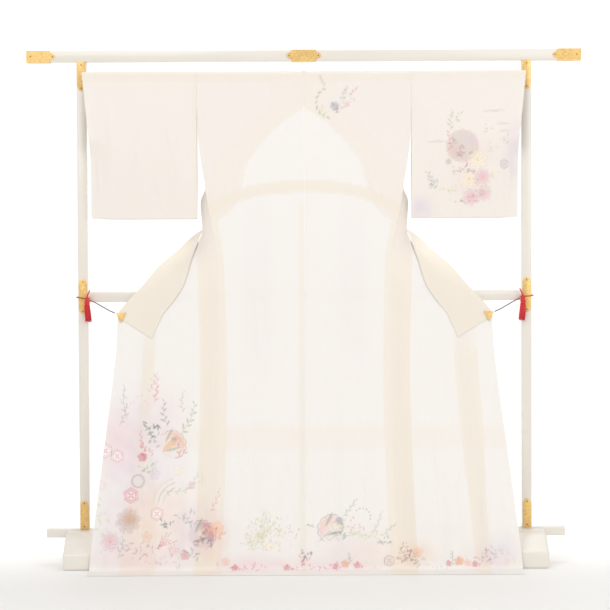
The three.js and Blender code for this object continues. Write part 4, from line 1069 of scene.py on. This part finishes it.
for side, label in ((-1, "left"), (1, "right")):
    shares = np.linspace(0, 1, bodySettings["columns"] + 1)[None, :]
    centre = bodySettings["seamHalf"] / shoulderHalf
    back = backPoint(side, mix(centre, 1, shares), backRows[:, None])
    turns = np.linspace(0, 1, 13)[1:-1, None]
    neck = mix(centre, 1 - float(seamShare(riseOf(rodZ))), ease(turns))
    over = np.stack(np.broadcast_arrays(side * mix(neck, 1, shares) * shoulderHalf,
                                        rodY - drapeRadius * np.cos(np.pi * turns),
                                        rodZ + drapeRadius * np.sin(np.pi * turns)), -1)
    downRows = frontRows[::-1, None]
    front = frontPoint(side, (1 - shares) * seamShare(downRows), downRows)
    points = np.concatenate([back, over, front])

    shades = []
    for facing, grid, rows in (("back", back, backRows), ("over", over, None),
                               ("front", front, frontRows[::-1])):
        level = np.full(grid.shape[:1], riseOf(rodZ)) if rows is None else rows
        dyeAndShade = DyeAndShade(grid[..., 0], np.broadcast_to(level[:, None], grid.shape[:2]), "single")
        if facing == "over":
            # painted shade of the doubled cloth over the rod
            band(dyeAndShade, np.full(len(dyeAndShade.x), bandTones["shoulder"]))
        else:
            doubledCloth(dyeAndShade, facing, side)
            pattern(dyeAndShade, side, facing)
        shades.append(dyeAndShade.shade.reshape(grid.shape))
    body = clothSheet("body " + label, points, measured(points), np.concatenate(shades),
                      finishes["gauze"], side)

    # the spare cloth at its seams, turned in behind it
    level = backRows[(backRows >= 0) & (backRows <= riseOf(950))][::3, None]
    cell = seamShare(level) / 11
    grid = onFront(side, np.concatenate([cell * 0 + 0.02, cell, 2 * cell, 3 * cell], 1),
                   np.broadcast_to(level, (len(level), 4)), np.full((len(level), 4), -behindLap))
    spare("side allowance " + label, grid, side)

    # the tuck of spare length across its back
    shares = np.linspace(0.004, 0.985, tuckSettings["columns"])[None, :]
    level = np.linspace(0, 1, 9)[:, None]
    z = tuckSettings["top"] - tuckSettings["height"] * level - tuckSettings["sag"] * shares ** 2.4
    grid = backPoint(side, shares, riseOf(z))
    grid[..., 1] += lapStep + 0.3
    spare("back tuck " + label, grid, side)

    # both widths are turned to one side of the back seam
    if side < 0:
        level = backRows[(backRows >= 0) & (backRows <= riseOf(1150))][::3, None]
        width = bodySettings["allowance"] / read(sideSections, "seamOut", heightOf(level))
        across = np.array([0.01, 0.5, 1.0])[None, :] * width
        rows = np.broadcast_to(level, across.shape)
        grid = backPoint(-1, across, rows)
        up = backPoint(-1, across, rows + 2) - backPoint(-1, across, rows - 2)
        up /= np.linalg.norm(up, axis=-1)[..., None]
        grid = grid + np.stack([np.zeros_like(up[..., 2]), up[..., 2], -up[..., 1]], -1) * lapStep
        spare("back seam allowance", grid, side, False)
    wear(body, "body_" + label)

    # okumi: the overlap panel beyond the body's width
    rows = np.concatenate([lowRows, np.linspace(patterned, riseOf(1027), 46)])[:, None]
    start = seamShare(rows) + 0.0001
    end = read(okumiEdge, "share", heightOf(rows))
    share = start + (end - start) * np.linspace(0, 1, 55)[None, :]
    points = frontPoint(side, share, rows)
    dyeAndShade = DyeAndShade(points[..., 0], np.broadcast_to(rows, points.shape[:2]), "single")
    doubledCloth(dyeAndShade, "front", side)
    pattern(dyeAndShade, side, "front")
    okumi = clothSheet("okumi " + label, points, measured(points), dyeAndShade.shade.reshape(points.shape),
                       finishes["gauze"], side, True)
    level = rows[(rows[:, 0] >= 0) & (rows[:, 0] <= riseOf(750)), 0][::3, None]
    start = seamShare(level) + 0.3 / read(sideSections, "reach", heightOf(level)) * 1.4
    cell = (read(okumiEdge, "share", heightOf(level)) - start) / 5
    share = start + np.array([0.02, 1.0, 2.0])[None, :] * cell
    grid = onFront(side, share, np.broadcast_to(level, share.shape), np.full(share.shape, -behindLap))
    extra = spare("okumi allowance " + label, grid, side)
    wear(okumi, "okumi_" + label)

# ------------------------------------------------ collar
collarSettings = {"across": 24, "steps": 9, "foldHalf": 0.02, "collarFoldShadeTone": 0.35}
position = np.arange(len(collarSections["freeZ"]), dtype=float)
steps = np.linspace(0, position[-1], len(position) * collarSettings["steps"])
values = {name: np.interp(steps, position, collarSections[name])[:, None]
          for name in ("freeZ", "seamShare", "seamZ", "lift")}
across = np.linspace(0, 1, collarSettings["across"] + 1)[None, :]
halves = []
for side in (-1, 1):
    share = mix(values["seamShare"], 1, across)
    rise = riseOf(mix(values["seamZ"], values["freeZ"], across))
    halves.append(onFront(side, share, rise, np.broadcast_to(values["lift"], share.shape)))
middle = (halves[0][-1] + halves[1][-1]) / 2
middle[:, 0] = 0
points = np.concatenate([halves[0][:-1], middle[None], halves[1][:-1][::-1]])
# the collar's tan and the darker line along its lengthwise fold are painted shade of its doubled layers
shade = np.broadcast_to(palette["collar"], points.shape).copy()
collarFoldShade = np.exp(-((across - 0.5) / collarSettings["foldHalf"]) ** 2) * collarSettings["collarFoldShadeTone"]
shade += collarFoldShade[..., None] * (palette["double"] - shade)
collar = clothSheet("neck collar", points, measured(points), shade, finishes["gauze"], 1)
wear(collar, "collar")

# ------------------------------------------------ sleeves
sleeveSettings = {"columns": 130, "bottom": 1096, "lowRow": 1112, "cuff": 230, "corner": 20, "hang": 219,
                  "lowHalf": 5, "bulge": 15, "joinRun": 60, "cuffRun": 70, "shutHalf": 1.1}
sleeveOuter = {"z": [1096, 1327, 1480, rodZ], "out": [676, 679, 694, 702], "far": [676, 678, 683, 684]}
sleeveCreases = [(420, 1350, 16, 150, 2.4, 0.12), (520, 1290, 22, 180, 2.8, -0.06),
                 (610, 1380, 18, 150, 2.4, 0.1), (470, 1180, 16, 90, -2.0, 0.2),
                 (575, 1170, 18, 90, -2.2, -0.2), (650, 1230, 12, 120, 2.0, 0.04)]


def sleeveHalf(out, outer, z):
    # half the space between the sleeve's two faces
    s = sleeveSettings
    hang = (rodZ - z) / (rodZ - s["bottom"])
    opened = mix(drapeRadius, s["lowHalf"], hang)
    opened = opened + s["bulge"] * np.sin(np.pi * np.clip(hang, 0, 1)) ** 1.5
    inner = above(out, shoulderHalf, s["joinRun"])
    joined = 1 - ease((rodZ - z) / s["hang"] - 0.75)
    held = mix(opened, drapeRadius, (1 - inner) * joined)
    # the cuff is sewn shut below its opening
    shut = ease((out - outer + s["cuffRun"]) / s["cuffRun"]) * ease((rodZ - s["cuff"] - z + 40) / 80)
    return mix(held, s["shutHalf"], shut)


def sleevePoint(side, z, share, facing):
    s = sleeveSettings
    outer = read(sleeveOuter, "out" if facing < 0 else "far", z)
    lowness = np.clip((s["bottom"] + s["corner"] - z) / s["corner"], 0, 1)
    corner = outer - s["corner"] * (1 - np.sqrt(1 - (lowness * 0.9) ** 2))
    out = mix(shoulderHalf + 0.3, corner, share)
    half = sleeveHalf(out, outer, z)
    rumple = addCreases(np.zeros_like(out), sleeveCreases, out, z)
    rumple *= ease((half - 1.2) / 5)
    return np.stack([side * out, rodY + facing * (half + rumple), z + 0 * out], -1)


for side, label in ((-1, "left"), (1, "right")):
    share = np.linspace(0, 1, sleeveSettings["columns"] + 1)[None, :]
    lowRow = sleeveSettings["lowRow"]
    nearLevels = np.concatenate([np.linspace(rodZ, lowRow, 176), [lowRow - 4, lowRow - 8]])[:, None]
    farLevels = np.concatenate([[lowRow - 8, lowRow - 4], np.linspace(lowRow, rodZ, 90)])[:, None]
    near = sleevePoint(side, nearLevels + 0 * share, share, -1)
    far = sleevePoint(side, farLevels + 0 * share, share, 1)
    rim = near[-1]
    drop = np.maximum(2, rodY - rim[:, 1])
    bottom = []
    for turn in np.linspace(0, np.pi, 7)[1:-1]:
        bottom.append(np.stack([rim[:, 0], rodY - (rodY - rim[:, 1]) * np.cos(turn),
                                rim[:, 2] - drop * np.sin(turn)], 1))
    top = []
    for turn in np.linspace(0, np.pi, 13)[1:]:
        rim = sleevePoint(side, rodZ + 0 * share, share, 1 if turn < np.pi / 2 else -1)[0]
        top.append(np.stack([rim[:, 0], rodY + 0 * rim[:, 0] + drapeRadius * np.cos(turn),
                             rodZ + 0 * rim[:, 0] + drapeRadius * np.sin(turn)], 1))
    points = np.concatenate([near, np.array(bottom), far, np.array(top)])
    shades = []
    for facing, grid in (("near", near), ("rest", points[len(near):])):
        dyeAndShade = DyeAndShade(grid[..., 0], riseOf(grid[..., 2]), "sleeve")
        if facing == "near" and side > 0:
            dyeSleeve(dyeAndShade)
        # painted shade of the doubled sleeve seam and of the cloth over the rod
        band(dyeAndShade, bandShare(dyeAndShade.x * side, 300, 351, 5), bandTones["sleeveSeam"])
        bandOverRod(dyeAndShade)
        shades.append(dyeAndShade.shade.reshape(grid.shape))
    sleeve = clothSheet("sleeve " + label, points, measured(points), np.concatenate(shades),
                        finishes["gauze"], side, True)
    wear(sleeve, "sleeve_" + label)
print("garment made")


# ------------------------------------------------ the rack
def soften(made, width, segments, sharpest):
    # bevel the edges that turn by more than an angle, and shade the rest smoothly
    softened = made.modifiers.new("softened edges", "BEVEL")
    softened.width = width * mm
    softened.segments = segments
    softened.limit_method = "ANGLE"
    softened.angle_limit = math.radians(sharpest)
    softened.use_clamp_overlap = True
    bpy.ops.object.modifier_apply(modifier=softened.name)
    bpy.ops.object.shade_smooth_by_angle(angle=math.radians(32))


def finished(node, material, bevel, segments):
    # the node's own form with its sharp edges softened
    made = bpy.data.objects.new(node.replace("_", "-"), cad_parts[node].data.copy())
    bpy.context.scene.collection.objects.link(made)
    made.data.materials.clear()
    made.data.materials.append(material)
    bpy.ops.object.select_all(action="DESELECT")
    bpy.context.view_layer.objects.active = made
    made.select_set(True)
    bpy.ops.object.mode_set(mode="EDIT")
    bpy.ops.mesh.select_all(action="SELECT")
    bpy.ops.mesh.remove_doubles(threshold=0.00001)
    bpy.ops.mesh.dissolve_limited(angle_limit=math.radians(0.5))
    bpy.ops.mesh.normals_make_consistent(inside=False)
    bpy.ops.object.mode_set(mode="OBJECT")
    soften(made, bevel, segments, 32)
    made.select_set(False)
    assign(made, node)


rackSettings = {"bar": 1.6, "foot": 7.0, "bracket": 0.6, "plate": 0.35, "clip": 0.4}
for nodes, finish, edge, segments in (
        (("top_beam", "middle_rail", "lower_rail", "post_left", "post_right"), "lacquer", "bar", 2),
        (("foot_left", "foot_right"), "lacquer", "foot", 4),
        (("rod_bracket_left", "rod_bracket_right", "hanging_rod"), "lacquer", "bracket", 1),
        (("beam_fitting_centre", "beam_cap_left", "beam_cap_right"), "gilt", "plate", 1),
        (("clip_left", "clip_right"), "gilt", "clip", 2)):
    for node in nodes:
        finished(node, finishes[finish], rackSettings[edge], segments)
print("rack made")

# ------------------------------------------------ plates on the posts' faces
plateSettings = {"half": 13.8, "arch": 1.5, "postX": 707, "face": 16.5, "hidden": 20, "foot": 0.3,
                 "edge": 0.5, "nailIn": 9}


def plate(node, side, low, high, square):
    # one plate on the front and its fellow on the back, with arched ends or a square foot
    p = plateSettings
    bpy.ops.mesh.primitive_cylinder_add(vertices=32, radius=p["half"] * mm, depth=2 * p["face"] * mm)
    made = bpy.context.object
    made.name = node.replace("_", "-")
    arch = p["half"] * mm * p["arch"]
    moves = {1: high - arch, -1: low + (p["foot"] * mm if square else arch)}
    bpy.ops.object.mode_set(mode="EDIT")
    bpy.ops.mesh.select_all(action="SELECT")
    bpy.ops.transform.rotate(value=math.pi / 2, orient_axis="X", center_override=(0, 0, 0))
    bpy.ops.transform.resize(value=(1, 1, p["arch"]), center_override=(0, 0, 0))
    bpy.ops.object.mode_set(mode="OBJECT")
    for way in (1, -1):
        bpy.ops.object.mode_set(mode="EDIT")
        bpy.ops.mesh.select_all(action="DESELECT")
        bpy.ops.object.mode_set(mode="OBJECT")
        for vertex in made.data.vertices:
            vertex.select = vertex.co.z > -0.0001 if way > 0 else vertex.co.z < -0.0001
        made.data.update()
        bpy.ops.object.mode_set(mode="EDIT")
        if square and way < 0:
            bpy.ops.transform.resize(value=(1, 1, 0.01), center_override=(0, 0, 0))
        bpy.ops.transform.translate(value=(0, 0, moves[way]))
        bpy.ops.object.mode_set(mode="OBJECT")
    bpy.ops.object.mode_set(mode="EDIT")
    bpy.ops.mesh.select_all(action="SELECT")
    bpy.ops.transform.translate(value=(side * p["postX"] * mm, middleY * mm, 0))
    bpy.ops.mesh.normals_make_consistent(inside=False)
    bpy.ops.object.mode_set(mode="OBJECT")
    soften(made, p["edge"], 2, 50)
    made.data.materials.append(finishes["gilt"])
    made.select_set(False)
    assign(made, node)


nailLevels = []
for level in ("top", "middle", "bottom"):
    for side, label in ((-1, "left"), (1, "right")):
        node = "post_fitting_" + level + "_" + label
        lowest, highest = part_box(node)
        hidden = plateSettings["hidden"] * mm if level == "top" else 0
        plate(node, side, lowest.z, highest.z + hidden, level == "bottom")
        if side > 0:
            nailIn = plateSettings["nailIn"]
            nailLevels += [lowest.z * 1000 + nailIn, highest.z * 1000 - nailIn]
print("plates made")

# ------------------------------------------------ nails in the fittings
nailSettings = {"radius": 2.6, "flat": 0.5, "postX": 707, "face": 16.5, "beamFace": 18.5, "beamZ": 1617,
                "capX": (797, 867), "centreX": 46}
n = nailSettings
nailPlaces = []
for side in (-1, 1):
    for z in nailLevels:
        nailPlaces.append((side * n["postX"], -n["face"], z))
    for x in (*n["capX"], n["centreX"]):
        nailPlaces.append((side * x, -n["beamFace"], n["beamZ"]))
heads = []
for x, y, z in nailPlaces:
    for facing in (1, -1):
        bpy.ops.mesh.primitive_uv_sphere_add(segments=10, ring_count=6, radius=n["radius"] * mm)
        head = bpy.context.object
        bpy.ops.object.mode_set(mode="EDIT")
        bpy.ops.mesh.select_all(action="SELECT")
        bpy.ops.transform.resize(value=(1, n["flat"], 1))
        bpy.ops.transform.translate(value=(x * mm, (y * facing + middleY) * mm, z * mm))
        bpy.ops.object.mode_set(mode="OBJECT")
        heads.append(head)
for head in heads:
    head.select_set(True)
bpy.context.view_layer.objects.active = heads[0]
bpy.ops.object.join()
nails = bpy.context.object
nails.name = "fitting-nails"
nails.data.shade_smooth()
nails.data.materials.append(finishes["nail"])
bpy.ops.object.select_all(action="DESELECT")
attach(nails, "root")
print("nails made")

# ------------------------------------------------ floor, surroundings and light
stageSettings = {"front": -10.0, "back": 8.5, "halfWidth": 10.0, "bend": 1.5, "top": 6.0,
                 "aim": (0, 0.05, 0.8), "sky": (1.0, 0.995, 0.985, 1), "skyStrength": 0.62}
s = stageSettings
profile = [(s["front"], 0.0), (s["back"] - s["bend"], 0.0)]
for turn in np.linspace(0, np.pi / 2, 13)[1:]:
    profile.append((s["back"] - s["bend"] * (1 - math.sin(turn)), s["bend"] * (1 - math.cos(turn))))
profile.append((s["back"], s["top"]))
vertices = [(x, y, z) for y, z in profile for x in (-s["halfWidth"], s["halfWidth"])]
faces = [(2 * i, 2 * i + 1, 2 * i + 3, 2 * i + 2) for i in range(len(profile) - 1)]
ground = meshFrom("floor", vertices, faces, [floorFinish()])

lights = [("key light", (-2.6, -4.6, 4.2), 3.4, 110), ("fill light", (3.4, -4.2, 2.6), 3.0, 68),
          ("back light", (0.4, 1.0, 3.6), 2.4, 36)]
for name, place, size, power in lights:
    data = bpy.data.lights.new(name, "AREA")
    data.size = size
    data.energy = power
    made = bpy.data.objects.new(name, data)
    made.location = place
    made.rotation_euler = (Vector(s["aim"]) - Vector(place)).to_track_quat("-Z", "Y").to_euler()
    bpy.context.scene.collection.objects.link(made)
world = bpy.data.worlds.new("studio")
world.use_nodes = True
sky = world.node_tree.nodes["Background"]
sky.inputs["Color"].default_value = s["sky"]
sky.inputs["Strength"].default_value = s["skyStrength"]
bpy.context.scene.world = world
bpy.context.scene.view_settings.view_transform = "Standard"
print("stage made")
